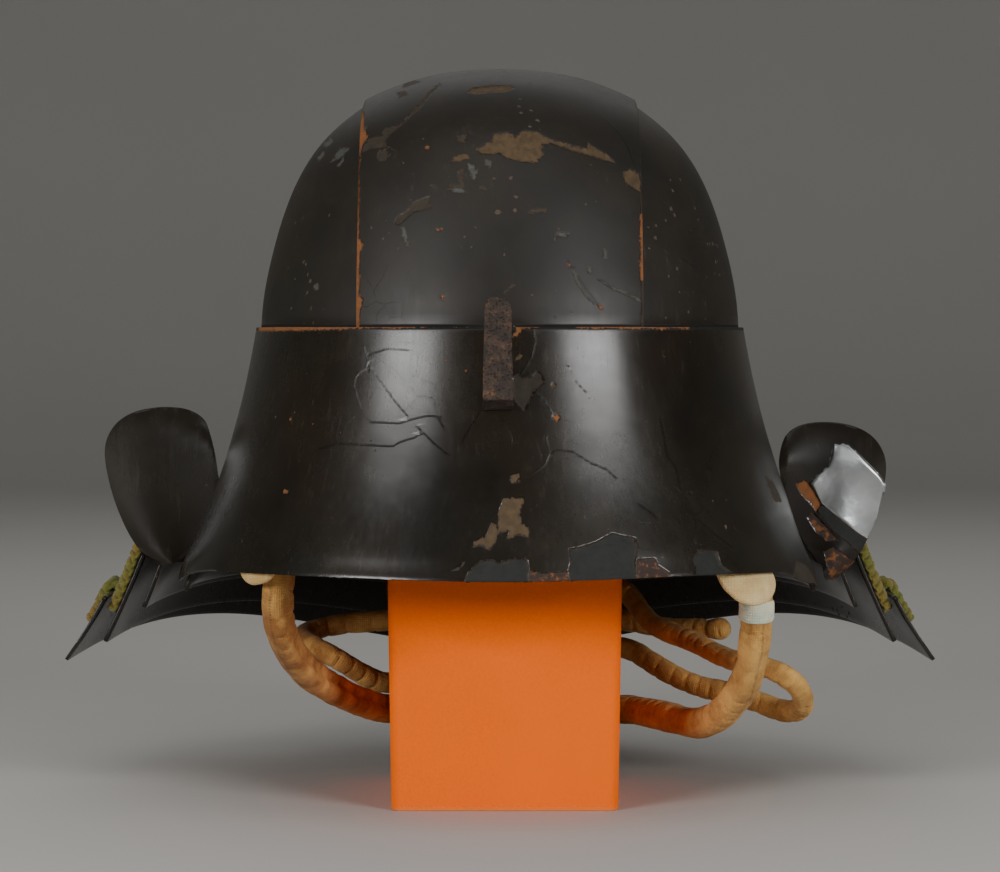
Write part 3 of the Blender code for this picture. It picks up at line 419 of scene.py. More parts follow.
class HelmetSettings(bpy.types.PropertyGroup):
    """Sizes and colours that a user would change."""

    chin_cord_diameter: bpy.props.FloatProperty(
        name="Chin cord", description="Thickness of the padded chin cord", default=0.013, unit="LENGTH")
    back_cord_diameter: bpy.props.FloatProperty(
        name="Back cord", description="Thickness of the cord at the back", default=0.0096, unit="LENGTH")
    braid_stitch: bpy.props.FloatProperty(
        name="Braid stitch", description="Length of one stitch of the lacing", default=0.0042, unit="LENGTH")
    lacquer: bpy.props.FloatVectorProperty(
        name="Lacquer", description="Colour of the aged lacquer", default=linear("110e09")[:3],
        size=3, subtype="COLOR", min=0.0, max=1.0)
    cloth: bpy.props.FloatVectorProperty(
        name="Cloth", description="Colour of the cords", default=linear("dba95c")[:3],
        size=3, subtype="COLOR", min=0.0, max=1.0)
    lace: bpy.props.FloatVectorProperty(
        name="Lacing", description="Colour of the braided lacing", default=linear("5a5f1c")[:3],
        size=3, subtype="COLOR", min=0.0, max=1.0)
    card: bpy.props.FloatVectorProperty(
        name="Card", description="Colour of the card stand", default=linear("ff6d00")[:3],
        size=3, subtype="COLOR", min=0.0, max=1.0)


def settings():
    """The settings of this scene."""
    return bpy.context.scene.helmet_settings


def fill_inputs(tree, node, inputs):
    """Link the inputs that are given another node's output, and set the others."""
    for key, value in inputs.items():
        if isinstance(value, bpy.types.NodeSocket):
            tree.links.new(value, node.inputs[key])
        else:
            node.inputs[key].default_value = value


def add_node(tree, kind, inputs=None, output=0, stops=None, **own):
    """Add a shader node, fill or link its inputs, set its own values and give back one of its outputs.

    In a Map Range, inputs 1 and 2 are the range that it reads, and 3 and 4 the range that it gives.
    """
    node = tree.nodes.new("ShaderNode" + kind)
    for name, value in own.items():
        setattr(node, name, value)
    fill_inputs(tree, node, inputs or {})
    for number, (place, colour) in enumerate(stops or ()):
        ramp = node.color_ramp.elements
        stop = ramp[number] if number < len(ramp) else ramp.new(place)
        stop.position = place
        stop.color = colour
    return node.outputs[output]


def blank_material(name):
    """Material with a shader and an output, and its node tree."""
    material = bpy.data.materials.new(name)
    material.use_nodes = True
    tree = material.node_tree
    return material, tree, tree.nodes["Principled BSDF"]


def lacquered_iron():
    """Urushi lacquer brushed over iron, then worn.

    Brown-black and satin, with soft brush unevenness, a dusty bloom, hair cracks, crazing, and chips that
    show tan primer, slate-grey iron, rust or a lifted bright flake.
    """
    material, tree, shader = blank_material("aged_lacquer_over_iron")
    place = add_node(tree, "TexCoord", output=3)
    height_up = add_node(tree, "SeparateXYZ", {0: place}, output=2)
    depth, kind, crack_side, crack_near, crazed, dulled = [
        add_node(tree, "Attribute", output=2, attribute_name=name)
        for name in ("worn_depth", "worn_kind", "crack_side", "crack_near", "crazed", "dulled")]

    # Edges of a chip wander by more than half a millimetre
    fine = add_node(tree, "TexNoise", {"Vector": place, "Scale": 700.0, "Detail": 4.0, "Roughness": 0.6})
    ragged = add_node(tree, "MapRange", {0: fine, 1: 0.3, 2: 0.7, 3: -0.7, 4: 0.7})
    edge = add_node(tree, "Math", {0: depth, 1: ragged}, operation="ADD")
    bare = add_node(tree, "MapRange", {0: edge, 1: 4.93, 2: 5.07}, interpolation_type="SMOOTHSTEP")
    lip = add_node(tree, "MapRange", {0: edge, 1: 5.75, 2: 5.15}, interpolation_type="SMOOTHSTEP")

    # Small chips everywhere, in drifts, more of them on the bowl
    bowl = add_node(tree, "MapRange", {0: height_up, 1: 0.198, 2: 0.206})
    cells = add_node(tree, "TexVoronoi", {"Vector": place, "Scale": 200.0, "Randomness": 1.0})
    drift = add_node(tree, "TexNoise", {"Vector": place, "Scale": 34.0, "Detail": 3.0})
    drift = add_node(tree, "Math", {0: bowl, 1: 0.07, 2: drift}, operation="MULTIPLY_ADD")
    speck_reach = add_node(tree, "MapRange", {0: drift, 1: 0.55, 2: 0.78, 3: 0.0, 4: 0.24})
    speck_edge = add_node(tree, "Math", {0: ragged, 1: 0.14, 2: cells}, operation="MULTIPLY_ADD")
    speck_gap = add_node(tree, "Math", {0: speck_reach, 1: speck_edge}, operation="SUBTRACT")
    specks = add_node(tree, "MapRange", {0: speck_gap, 1: 0.0, 2: 0.02})

    # The lacquer itself: brown where it is thin, dusty in patches and on the bowl
    cloudy = add_node(tree, "TexNoise", {"Vector": place, "Scale": 22.0, "Detail": 5.0, "Roughness": 0.6})
    brown = add_node(tree, "MapRange", {0: cloudy, 1: 0.35, 2: 0.70})
    coat = add_node(tree, "Mix", {0: brown, 6: (*settings().lacquer, 1.0), 7: linear("1f170e")}, **COLOUR_MIX)
    dust = add_node(tree, "TexNoise", {"Vector": place, "Scale": 9.0, "Detail": 8.0, "Roughness": 0.72})
    dusty = add_node(tree, "MapRange", {0: dust, 1: 0.45, 2: 0.80, 3: 0.0, 4: 0.25})
    coat = add_node(tree, "Mix", {0: dusty, 6: coat, 7: linear("3a3627")}, **COLOUR_MIX)

    # Fine streaks that run up and down, left by wiping, drawn about half a millimetre wide so that they show
    upright = add_node(tree, "Mapping", {"Vector": place, "Rotation": (0.05, 0.07, 0.0),
                                         "Scale": (1.0, 1.0, 0.05)})
    streaks = add_node(tree, "TexNoise", {"Vector": upright, "Scale": 420.0, "Detail": 4.0,
                                          "Roughness": 0.75})
    streak = add_node(tree, "MapRange", {0: streaks, 1: 0.58, 2: 0.72})
    wiped = add_node(tree, "MapRange", {0: cloudy, 1: 0.46, 2: 0.62, 3: 0.01, 4: 0.07})
    scratch = add_node(tree, "Math", {0: streak, 1: wiped}, operation="MULTIPLY")
    coat = add_node(tree, "Mix", {0: scratch, 6: coat, 7: linear("8a8072")}, **COLOUR_MIX)

    # Hair cracks, drawn about 0.3 mm wide so that they show, and crazing cells of about 10 mm
    away = add_node(tree, "Math", {0: crack_side}, operation="ABSOLUTE")
    thin = add_node(tree, "MapRange", {0: fine, 1: 0.35, 2: 0.62, 3: 0.12, 4: 0.26})
    line = add_node(tree, "Math", {0: away, 1: thin}, operation="LESS_THAN")
    close = add_node(tree, "Math", {0: crack_near, 1: 0.5}, operation="GREATER_THAN")
    crack = add_node(tree, "Math", {0: line, 1: close}, operation="MULTIPLY")
    bent = add_node(tree, "TexNoise", {"Vector": place, "Scale": 60.0, "Detail": 2.0}, output=1)
    shifted = add_node(tree, "VectorMath", {0: bent, 1: (0.012, 0.012, 0.012), 2: place},
                       operation="MULTIPLY_ADD")
    web = add_node(tree, "TexVoronoi", {"Vector": shifted, "Scale": 75.0}, feature="DISTANCE_TO_EDGE")
    web_line = add_node(tree, "Math", {0: web, 1: 0.008}, operation="LESS_THAN")
    web_part = add_node(tree, "MapRange", {0: dust, 1: 0.48, 2: 0.56})
    web_share = add_node(tree, "Math", {0: web_part, 1: crazed}, operation="MULTIPLY")
    craze = add_node(tree, "Math", {0: web_line, 1: web_share}, operation="MULTIPLY")
    lines = add_node(tree, "Math", {0: crack, 1: craze}, operation="MAXIMUM")
    coat = add_node(tree, "Mix", {0: lines, 6: coat, 7: linear("070504")}, **COLOUR_MIX)

    # Painted shadow in the joint between bowl and brow plate, also made duller: a dark band where the bowl's
    # lower edge shades the brow plate's top edge
    joint_gap = add_node(tree, "Math", {0: height_up, 1: 0.2005}, operation="SUBTRACT")
    joint_gap = add_node(tree, "Math", {0: joint_gap}, operation="ABSOLUTE")
    grime_and_painted_shade = add_node(tree, "MapRange", {0: joint_gap, 1: 0.0013, 2: 0.0007})
    coat = add_node(tree, "Mix", {0: grime_and_painted_shade, 6: coat, 7: linear("0a0705")}, **COLOUR_MIX)

    # Under the lacquer
    under = add_node(tree, "ValToRGB", {0: kind}, stops=(
        (PRIMER, linear("4a3a24")), (DULL, linear("2f291e")), (SLATE, linear("1b1c1a")),
        (ASH, linear("3f433f")), (RUSTY, linear("30211a")), (ORANGE, linear("7a4a24")),
        (STEEL, linear("a4a7a7"))))
    is_flake = add_node(tree, "Math", {0: kind, 1: 0.92}, operation="GREATER_THAN")
    is_flake = add_node(tree, "Math", {0: is_flake, 1: bare}, operation="MULTIPLY")
    grain = add_node(tree, "TexNoise", {"Vector": place, "Scale": 260.0, "Detail": 8.0, "Roughness": 0.7})
    mottled = add_node(tree, "MapRange", {0: grain, 1: 0.30, 2: 0.70, 3: 0.55, 4: 1.40})
    mottle_share = add_node(tree, "Math", {0: is_flake, 1: -0.8, 2: 1.0}, operation="MULTIPLY_ADD")
    under = add_node(tree, "Mix", {0: mottle_share, 6: under, 7: mottled}, **COLOUR_PRODUCT)
    iron = add_node(tree, "MapRange", {0: kind, 1: 0.50, 2: 0.60})
    not_flake = add_node(tree, "Math", {0: kind, 1: 0.92}, operation="LESS_THAN")
    iron = add_node(tree, "Math", {0: iron, 1: not_flake}, operation="MULTIPLY")
    bloom = add_node(tree, "MapRange", {0: grain, 1: 0.52, 2: 0.60, 3: 0.0, 4: 0.85})
    bloom = add_node(tree, "Math", {0: bloom, 1: iron}, operation="MULTIPLY")
    under = add_node(tree, "Mix", {0: bloom, 6: under, 7: linear("7d4a20")}, **COLOUR_MIX)
    rim_share = add_node(tree, "Math", {0: 1.0, 1: is_flake}, operation="SUBTRACT")
    rim_share = add_node(tree, "Math", {0: rim_share, 1: lip}, operation="MULTIPLY")
    rim_share = add_node(tree, "Math", {0: rim_share, 1: 0.50}, operation="MULTIPLY")
    under = add_node(tree, "Mix", {0: rim_share, 6: under, 7: linear("3e2b1c")}, **COLOUR_MIX)
    speck_tone = add_node(tree, "MapRange", {0: cloudy, 1: 0.62, 2: 0.66})
    speck_colour = add_node(tree, "Mix", {0: speck_tone, 6: linear("463b30"), 7: linear("7d4b2a")},
                            **COLOUR_MIX)
    colour = add_node(tree, "Mix", {0: specks, 6: coat, 7: speck_colour}, **COLOUR_MIX)
    colour = add_node(tree, "Mix", {0: bare, 6: colour, 7: under}, **COLOUR_MIX)

    # Gloss: satin lacquer, duller on the dusty bowl, dull where bare, a bright lifted flake
    gloss = add_node(tree, "MapRange", {0: dust, 1: 0.30, 2: 0.75, 3: 0.15, 4: 0.29})
    gloss = add_node(tree, "Math", {0: streaks, 1: 0.10, 2: gloss}, operation="MULTIPLY_ADD")
    gloss = add_node(tree, "Math", {0: bowl, 1: 0.26, 2: gloss}, operation="MULTIPLY_ADD")
    gloss = add_node(tree, "Math", {0: dulled, 1: 0.30, 2: gloss}, operation="MULTIPLY_ADD")
    gloss = add_node(tree, "Math", {0: grime_and_painted_shade, 1: 0.5, 2: gloss}, operation="MULTIPLY_ADD")
    dull = add_node(tree, "MapRange", {0: is_flake, 1: 0.0, 2: 1.0, 3: 0.78, 4: 0.26})
    worn = add_node(tree, "Math", {0: bare, 1: specks}, operation="MAXIMUM")
    rough = add_node(tree, "Mix", {0: worn, 2: gloss, 3: dull})

    # Relief: brushed coat, chip floors about 0.2 mm down, cracks with one curled lip
    brushed = add_node(tree, "TexNoise", {"Vector": place, "Scale": 130.0, "Detail": 2.0})
    low = add_node(tree, "Math", {0: worn, 1: -0.5, 2: 1.0}, operation="MULTIPLY_ADD")
    curl = add_node(tree, "MapRange", {0: crack_side, 1: -0.95, 2: 0.0})
    one_side = add_node(tree, "Math", {0: crack_side, 1: 0.0}, operation="LESS_THAN")
    curl = add_node(tree, "Math", {0: curl, 1: one_side}, operation="MULTIPLY")
    curl = add_node(tree, "Math", {0: curl, 1: crack_near}, operation="MULTIPLY")
    height = add_node(tree, "Math", {0: curl, 1: 0.22, 2: low}, operation="MULTIPLY_ADD")
    height = add_node(tree, "Math", {0: craze, 1: -0.15, 2: height}, operation="MULTIPLY_ADD")
    height = add_node(tree, "Math", {0: brushed, 1: 0.10, 2: height}, operation="MULTIPLY_ADD")
    worn_grain = add_node(tree, "Math", {0: grain, 1: worn}, operation="MULTIPLY")
    height = add_node(tree, "Math", {0: worn_grain, 1: 0.35, 2: height}, operation="MULTIPLY_ADD")
    bump = add_node(tree, "Bump", {"Height": height, "Strength": 0.8, "Distance": 0.0004})
    fill_inputs(tree, shader, {"Base Color": colour, "Metallic": is_flake, "Roughness": rough, "Normal": bump,
                               "Specular IOR Level": 0.42})
    return material


def rusted_iron():
    """Forged iron bar, rusted all over: dark brown scale with pits and orange bloom, no shine."""
    material, tree, shader = blank_material("pitted_rusted_iron")
    place = add_node(tree, "TexCoord", output=3)
    patches = add_node(tree, "TexNoise", {"Vector": place, "Scale": 260.0, "Detail": 7.0, "Roughness": 0.75})
    colour = add_node(tree, "ValToRGB", {0: patches}, stops=(
        (0.30, linear("140d09")), (0.45, linear("281c15")), (0.56, linear("3a2a1f")),
        (0.64, linear("573b27")), (0.76, linear("8a5429"))))
    pits = add_node(tree, "TexVoronoi", {"Vector": place, "Scale": 800.0, "Randomness": 1.0})
    pit = add_node(tree, "MapRange", {0: pits, 1: 0.12, 2: 0.42})
    shade = add_node(tree, "MapRange", {0: pit, 3: 0.62, 4: 1.0})
    colour = add_node(tree, "Mix", {0: 1.0, 6: colour, 7: shade}, **COLOUR_PRODUCT)
    height = add_node(tree, "Math", {0: patches, 1: 1.4, 2: pit}, operation="MULTIPLY_ADD")
    bump = add_node(tree, "Bump", {"Height": height, "Strength": 1.0, "Distance": 0.0005})
    fill_inputs(tree, shader, {"Base Color": colour, "Metallic": 0.0, "Roughness": 0.78, "Normal": bump})
    return material


def cotton_cloth(name, colour, stain_and_shade_colour):
    """Woven cotton, soft and matt, with a thread every 0.5 mm, drawn a little coarse so that it shows.

    It is darker towards the left side of the helmet: painted shade, tinted orange like light bounced off the
    card, over random dirt.
    """
    material, tree, shader = blank_material(name)
    place = add_node(tree, "TexCoord", output=2)
    solid = add_node(tree, "TexCoord", output=3)
    thread = {"Vector": place, "Scale": 320.0, "Distortion": 1.2, "Detail": 2.0, "Detail Scale": 1.5}
    warp = add_node(tree, "TexWave", thread, output=1, bands_direction="X")
    weft = add_node(tree, "TexWave", thread, output=1, bands_direction="Y")
    weave = add_node(tree, "Math", {0: warp, 1: weft}, operation="MULTIPLY")
    grime_and_painted_shade = add_node(tree, "TexNoise", {"Vector": solid, "Scale": 70.0, "Detail": 6.0, "Roughness": 0.65})
    # Painted shade: towards the left side of the helmet the cloth is darkened to the stain colour, standing
    # in for the shade and orange bounce light there
    left_side_painted_shade = add_node(tree, "SeparateXYZ", {0: solid}, output=0)
    left_side_painted_shade = add_node(tree, "MapRange", {0: left_side_painted_shade, 1: -0.055, 2: -0.085, 3: 0.0, 4: 0.16})
    grime_and_painted_shade = add_node(tree, "Math", {0: grime_and_painted_shade, 1: left_side_painted_shade}, operation="ADD")
    dirt_and_painted_shade = add_node(tree, "MapRange", {0: grime_and_painted_shade, 1: 0.38, 2: 0.72})
    base = add_node(tree, "Mix", {0: dirt_and_painted_shade, 6: colour, 7: stain_and_shade_colour}, **COLOUR_MIX)
    shade = add_node(tree, "MapRange", {0: weave, 3: 0.93, 4: 1.03})
    base = add_node(tree, "Mix", {0: 1.0, 6: base, 7: shade}, **COLOUR_PRODUCT)
    crumple = add_node(tree, "TexNoise", {"Vector": solid, "Scale": 190.0, "Detail": 4.0})
    height = add_node(tree, "Math", {0: weave, 1: 0.25, 2: crumple}, operation="MULTIPLY_ADD")
    bump = add_node(tree, "Bump", {"Height": height, "Strength": 0.8, "Distance": 0.0008})
    fill_inputs(tree, shader, {"Base Color": base, "Roughness": 0.92, "Normal": bump, "Sheen Weight": 0.06,
                               "Sheen Roughness": 0.5})
    return material


def silk_braid():
    """Old braided silk and cotton lacing: matt, fuzzy, faded from green to straw, with painted shade in its
    grooves.
    """
    material, tree, shader = blank_material("faded_braided_lacing")
    place = add_node(tree, "TexCoord", output=3)
    groove = add_node(tree, "Attribute", output=2, attribute_name="braid_height")
    faded = add_node(tree, "TexNoise", {"Vector": place, "Scale": 45.0, "Detail": 4.0})
    tone = add_node(tree, "MapRange", {0: faded, 1: 0.40, 2: 0.62})
    base = add_node(tree, "Mix", {0: tone, 6: (*settings().lace, 1.0), 7: linear("735d24")}, **COLOUR_MIX)
    fibre = add_node(tree, "TexNoise", {"Vector": place, "Scale": 1400.0, "Detail": 4.0})
    # Painted shade: much darker down in the grooves between strands, a little lighter on their tops
    dark = add_node(tree, "MapRange", {0: groove, 1: 0.0, 2: 0.8, 3: 0.20, 4: 1.15})
    speckle = add_node(tree, "MapRange", {0: fibre, 1: 0.3, 2: 0.7, 3: 0.7, 4: 1.3})
    shade = add_node(tree, "Math", {0: dark, 1: speckle}, operation="MULTIPLY")
    base = add_node(tree, "Mix", {0: 1.0, 6: base, 7: shade}, **COLOUR_PRODUCT)
    bump = add_node(tree, "Bump", {"Height": fibre, "Strength": 0.8, "Distance": 0.0004})
    fill_inputs(tree, shader, {"Base Color": base, "Roughness": 0.95, "Normal": bump, "Sheen Weight": 0.3})
    return material


def orange_card():
    """Dyed paper card: matt and even, with a faint felt grain and a rubbed, paler lower edge."""
    material, tree, shader = blank_material("dyed_orange_card")
    place = add_node(tree, "TexCoord", output=3)
    height = add_node(tree, "SeparateXYZ", {0: place}, output=2)
    felt = add_node(tree, "TexNoise", {"Vector": place, "Scale": 900.0, "Detail": 5.0, "Roughness": 0.7})
    broad = add_node(tree, "TexNoise", {"Vector": place, "Scale": 14.0, "Detail": 3.0})
    tone = add_node(tree, "MapRange", {0: broad, 1: 0.3, 2: 0.7, 3: 0.95, 4: 1.04})
    grain = add_node(tree, "MapRange", {0: felt, 1: 0.3, 2: 0.7, 3: 0.94, 4: 1.05})
    shade = add_node(tree, "Math", {0: tone, 1: grain}, operation="MULTIPLY")
    colour = add_node(tree, "Mix", {0: 1.0, 6: (*settings().card, 1.0), 7: shade}, **COLOUR_PRODUCT)
    low = add_node(tree, "Math", {0: felt, 1: 0.004, 2: height}, operation="MULTIPLY_ADD")
    rubbed = add_node(tree, "MapRange", {0: low, 1: 0.0040, 2: 0.0028, 3: 0.0, 4: 0.5})
    colour = add_node(tree, "Mix", {0: rubbed, 6: colour, 7: linear("c98a55")}, **COLOUR_MIX)
    bump = add_node(tree, "Bump", {"Height": felt, "Strength": 0.25, "Distance": 0.0002})
    fill_inputs(tree, shader, {"Base Color": colour, "Roughness": 0.85, "Normal": bump,
                               "Specular IOR Level": 0.1})
    return material


def painted_floor():
    """Plain pale studio floor, matt paint with the faintest unevenness."""
    material, tree, shader = blank_material("pale_matt_floor")
    place = add_node(tree, "TexCoord", output=3)
    cloud = add_node(tree, "TexNoise", {"Vector": place, "Scale": 3.0, "Detail": 2.0})
    colour = add_node(tree, "Mix", {0: cloud, 6: linear("b9b7b3"), 7: linear("bebcb8")}, **COLOUR_MIX)
    fill_inputs(tree, shader, {"Base Color": colour, "Roughness": 0.85})
    return material


def shared_material(maker, *words):
    """One material for all the pieces that have the same finish."""
    key = "made_by_" + maker.__name__ + "_".join(str(w) for w in words[:1])
    found = [m for m in bpy.data.materials if m.get("recipe") == key]
    if found:
        return found[0]
    material = maker(*words)
    material["recipe"] = key
    return material


def tan_cloth():
    """The two cords' cloth."""
    # Its second colour is both its stain and its painted shade on the left side
    return shared_material(cotton_cloth, "tan_cotton_cloth", (*settings().cloth, 1.0), linear("8f5c26"))


def select_only(piece):
    """Deselect everything else and make this piece the active one."""
    bpy.ops.object.select_all(action="DESELECT")
    piece.select_set(True)
    bpy.context.view_layer.objects.active = piece


def copy_of_node(node, name):
    """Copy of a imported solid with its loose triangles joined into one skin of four-sided faces."""
    piece = bpy.data.objects.new(name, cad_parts[node].data.copy())
    bpy.context.scene.collection.objects.link(piece)
    select_only(piece)
    bpy.ops.object.mode_set(mode="EDIT")
    bpy.ops.mesh.select_all(action="SELECT")
    bpy.ops.mesh.remove_doubles(threshold=MERGE_DISTANCE)
    bpy.ops.mesh.tris_convert_to_quads(face_threshold=math.radians(30), shape_threshold=math.radians(60))
    bpy.ops.object.mode_set(mode="OBJECT")
    return piece


def whole_mesh(piece, operator, **options):
    """Run a mesh operator on everything in a piece."""
    select_only(piece)
    bpy.ops.object.mode_set(mode="EDIT")
    bpy.ops.mesh.select_all(action="SELECT")
    operator(**options)
    bpy.ops.object.mode_set(mode="OBJECT")


def mesh_piece(name, vertices, faces):
    """New object made of vertices and faces."""
    mesh = bpy.data.meshes.new(name)
    mesh.from_pydata(vertices, [], faces)
    mesh.validate()
    piece = bpy.data.objects.new(name, mesh)
    bpy.context.scene.collection.objects.link(piece)
    return piece


def sleeve_faces(rows, around):
    """Faces of a sleeve that joins rings of vertices in their order."""
    faces = []
    for i in range(rows - 1):
        for k in range(around):
            j = (k + 1) % around
            faces.append((i * around + k, i * around + j, (i + 1) * around + j, (i + 1) * around + k))
    return faces


def apply_modifiers(piece):
    """Apply every modifier of a piece, in order."""
    select_only(piece)
    for modifier in list(piece.modifiers):
        bpy.ops.object.modifier_apply(modifier=modifier.name)


def soften_edges(piece, width, angle):
    """Round the edges of a piece that are folded by more than an angle."""
    bevel = piece.modifiers.new("soft edge", "BEVEL")
    bevel.width = width
    bevel.segments = 2
    bevel.limit_method = "ANGLE"
    bevel.angle_limit = math.radians(angle)
    apply_modifiers(piece)


def subdivide_softly(piece, levels, crease, sharp_angle=SHARP_ANGLE, round_corners=False):
    """Round a piece's skin by subdivision and keep its folded edges nearly sharp, but for round corners."""
    work = bmesh.new()
    work.from_mesh(piece.data)
    layer = work.edges.layers.float.get("crease_edge") or work.edges.layers.float.new("crease_edge")
    for edge in work.edges:
        if len(edge.link_faces) == 2 and edge.calc_face_angle() > math.radians(sharp_angle):
            middle = (edge.verts[0].co + edge.verts[1].co) / 2.0
            at_corner = abs(middle.x) > BROW_CORNER_X and middle.z < BROW_CORNER_Z
            edge[layer] = BROW_CORNER_CREASE if round_corners and at_corner else crease
    work.to_mesh(piece.data)
    work.free()
    modifier = piece.modifiers.new("smooth skin", "SUBSURF")
    modifier.levels = levels
    modifier.render_levels = levels
    apply_modifiers(piece)


def folded_rim(piece, spacing):
    """Points along the folded edges of a piece."""
    work = bmesh.new()
    work.from_mesh(piece.data)
    found = []
    for edge in work.edges:
        if len(edge.link_faces) == 2 and edge.calc_face_angle() > math.radians(SHARP_ANGLE):
            steps = max(1, int(edge.calc_length() / spacing))
            for k in range(steps):
                found.append(edge.verts[0].co.lerp(edge.verts[1].co, k / steps))
    work.free()
    return found


def tree_of(places):
    """Search tree of some places."""
    near = KDTree(len(places))
    for number, place in enumerate(places):
        near.insert(place, number)
    near.balance()
    return near


def refine_near_rim(piece, rim, reach):
    """Split the faces beside a plate's rim, so that its turned edge is round."""
    near = tree_of(rim)
    work = bmesh.new()
    work.from_mesh(piece.data)
    edges = set()
    for face in work.faces:
        middle = face.calc_center_median()
        rolled = middle.z < ROLLED_BELOW_Z and middle.y < ROLLED_BEFORE_Y
        if rolled and near.find(middle)[2] < RIM_SPLIT_SHARE * reach * MM:
            edges.update(face.edges)
    bmesh.ops.subdivide_edges(work, edges=list(edges), cuts=1, use_grid_fill=True)
    work.to_mesh(piece.data)
    work.free()


def vertex_places(mesh):
    """The mesh's points and normals as arrays."""
    points = np.empty(len(mesh.vertices) * 3)
    normals = np.empty(len(mesh.vertices) * 3)
    mesh.vertices.foreach_get("co", points)
    mesh.vertices.foreach_get("normal", normals)
    return points.reshape(-1, 3), normals.reshape(-1, 3)


def place_vertices(piece, points):
    """Put the vertices of a piece at these places."""
    piece.data.vertices.foreach_set("co", points.ravel())
    piece.data.update()


def push_out(piece, amount_at):
    """Move each vertex along its normal, by an amount in mm that its place gives."""
    points, normals = vertex_places(piece.data)
    for i, (point, normal) in enumerate(zip(points, normals)):
        points[i] = point + normal * (amount_at(Vector(tuple(point))) * MM)
    place_vertices(piece, points)


def waviness(place, table):
    """Height in mm of some waves at a place."""
    return sum(height * noise.noise(place * waves) for height, waves in table)


def eased(share):
    """A share from 0 to 1 with a soft start and end."""
    return share * share * (3.0 - 2.0 * share)


def flatten_flaps(piece):
    """Take most of the bulge out of the turned-back flaps."""
    points, _ = vertex_places(piece.data)
    for side in (-1.0, 1.0):
        out = points[:, 0] * side
        before = points[:, 1] < ROLLED_BEFORE_Y
        on_flap = (out > FLAP_X[1]) & before & (points[:, 2] > FLAP_Z[0]) & (points[:, 2] < FLAP_Z[1])
        middle = points[on_flap].mean(axis=0)
        wide = (points[:, 0] - middle[0]) / FLAP_HALF_SIZE[0]
        high = (points[:, 2] - middle[2]) / FLAP_HALF_SIZE[1]
        terms = np.stack([np.ones(len(points)), wide, high, wide**2, wide * high, high**2], axis=1)
        shares, *_ = np.linalg.lstsq(terms[on_flap], points[on_flap, 1], rcond=None)
        bulge = terms[:, 3:] @ shares[3:]
        bulge -= bulge[on_flap].mean()
        fade = np.clip((out - FLAP_X[0]) / (FLAP_X[1] - FLAP_X[0]), 0.0, 1.0)
        fade *= np.clip((points[:, 2] - FLAP_Z[0]) / FLAP_FADE_HEIGHT, 0.0, 1.0) * before
        points[:, 1] -= FLAP_FLATTENING * fade * np.clip(bulge, -FLAP_MOST_MOVED, FLAP_MOST_MOVED)
    place_vertices(piece, points)


def move_rim_end(piece):
    """Move the right end of the brow plate's rim to where the photograph shows it."""
    points, _ = vertex_places(piece.data)
    for centre, reach, move in RIM_END_MOVES:
        away = np.linalg.norm(points / MM - np.array(centre), axis=1) / reach
        share = eased(np.clip(1.0 - away, 0.0, 1.0))
        points += share[:, None] * np.array(move) * MM
    place_vertices(piece, points)


def roll_edge(piece, rim, reach, drop):
    """Bend the front of a plate back along its rim, like the turned edge of the real one."""
    near = tree_of(rim)
    points, normals = vertex_places(piece.data)
    for i, (point, normal) in enumerate(zip(points, normals)):
        behind = point[1] - HELMET_MIDDLE_Y
        outward = normal[0] * point[0] + normal[1] * behind
        if point[2] > ROLLED_BELOW_Z or outward <= OUTWARD_SHARE * math.hypot(point[0], behind):
            continue
        distance = near.find(Vector(tuple(point)))[2] / MM
        if distance < reach:
            share = 1.0 - distance / reach
            points[i] = point - normal * (drop * MM * (1.0 - math.sqrt(1.0 - share * share)))
    place_vertices(piece, points)


def straighten_rim(piece, rim):
    """Carry the brow plate's flare on down to its rim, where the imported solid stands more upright."""
    near = tree_of(rim)
    points, _ = vertex_places(piece.data)
    for i, point in enumerate(points):
        inward = BROW_CORNER_X - abs(point[0])
        if point[2] > ROLLED_BELOW_Z or inward < 0.0:
            continue
        share = max(0.0, 1.0 - near.find(Vector(tuple(point)))[2] / RIM_FLARE_REACH)
        out = np.array([point[0], point[1], 0.0]) / math.hypot(point[0], point[1])
        points[i] = point + out * (RIM_FLARE * share * share * min(1.0, inward / RIM_FLARE_FADE))
    place_vertices(piece, points)


def make_uneven(piece):
    """Give a hand-hammered plate its faint long waves, which break up its highlights."""
    push_out(piece, lambda place: waviness(place, HAMMER_WAVES))


def camera_place():
    """Where the camera stands."""
    turn = math.radians(CAMERA_ELEVATION)
    return 0.0, -CAMERA_DISTANCE * math.cos(turn), CAMERA_TARGET_Z + CAMERA_DISTANCE * math.sin(turn)


def photo_places(points):
    """Where points in metres show in the photograph, in its pixels."""
    turn = math.radians(CAMERA_ELEVATION)
    eye = np.array(camera_place())
    ahead = np.array([0.0, math.cos(turn), -math.sin(turn)])
    upward = np.array([0.0, math.sin(turn), math.cos(turn)])
    sight = points - eye
    far = sight @ ahead
    return np.stack([
        PHOTO_CENTRE[0] + PIXELS_PER_SLOPE * sight[:, 0] / far,
        PHOTO_CENTRE[1] - PIXELS_PER_SLOPE * (sight @ upward) / far,
    ], axis=1)


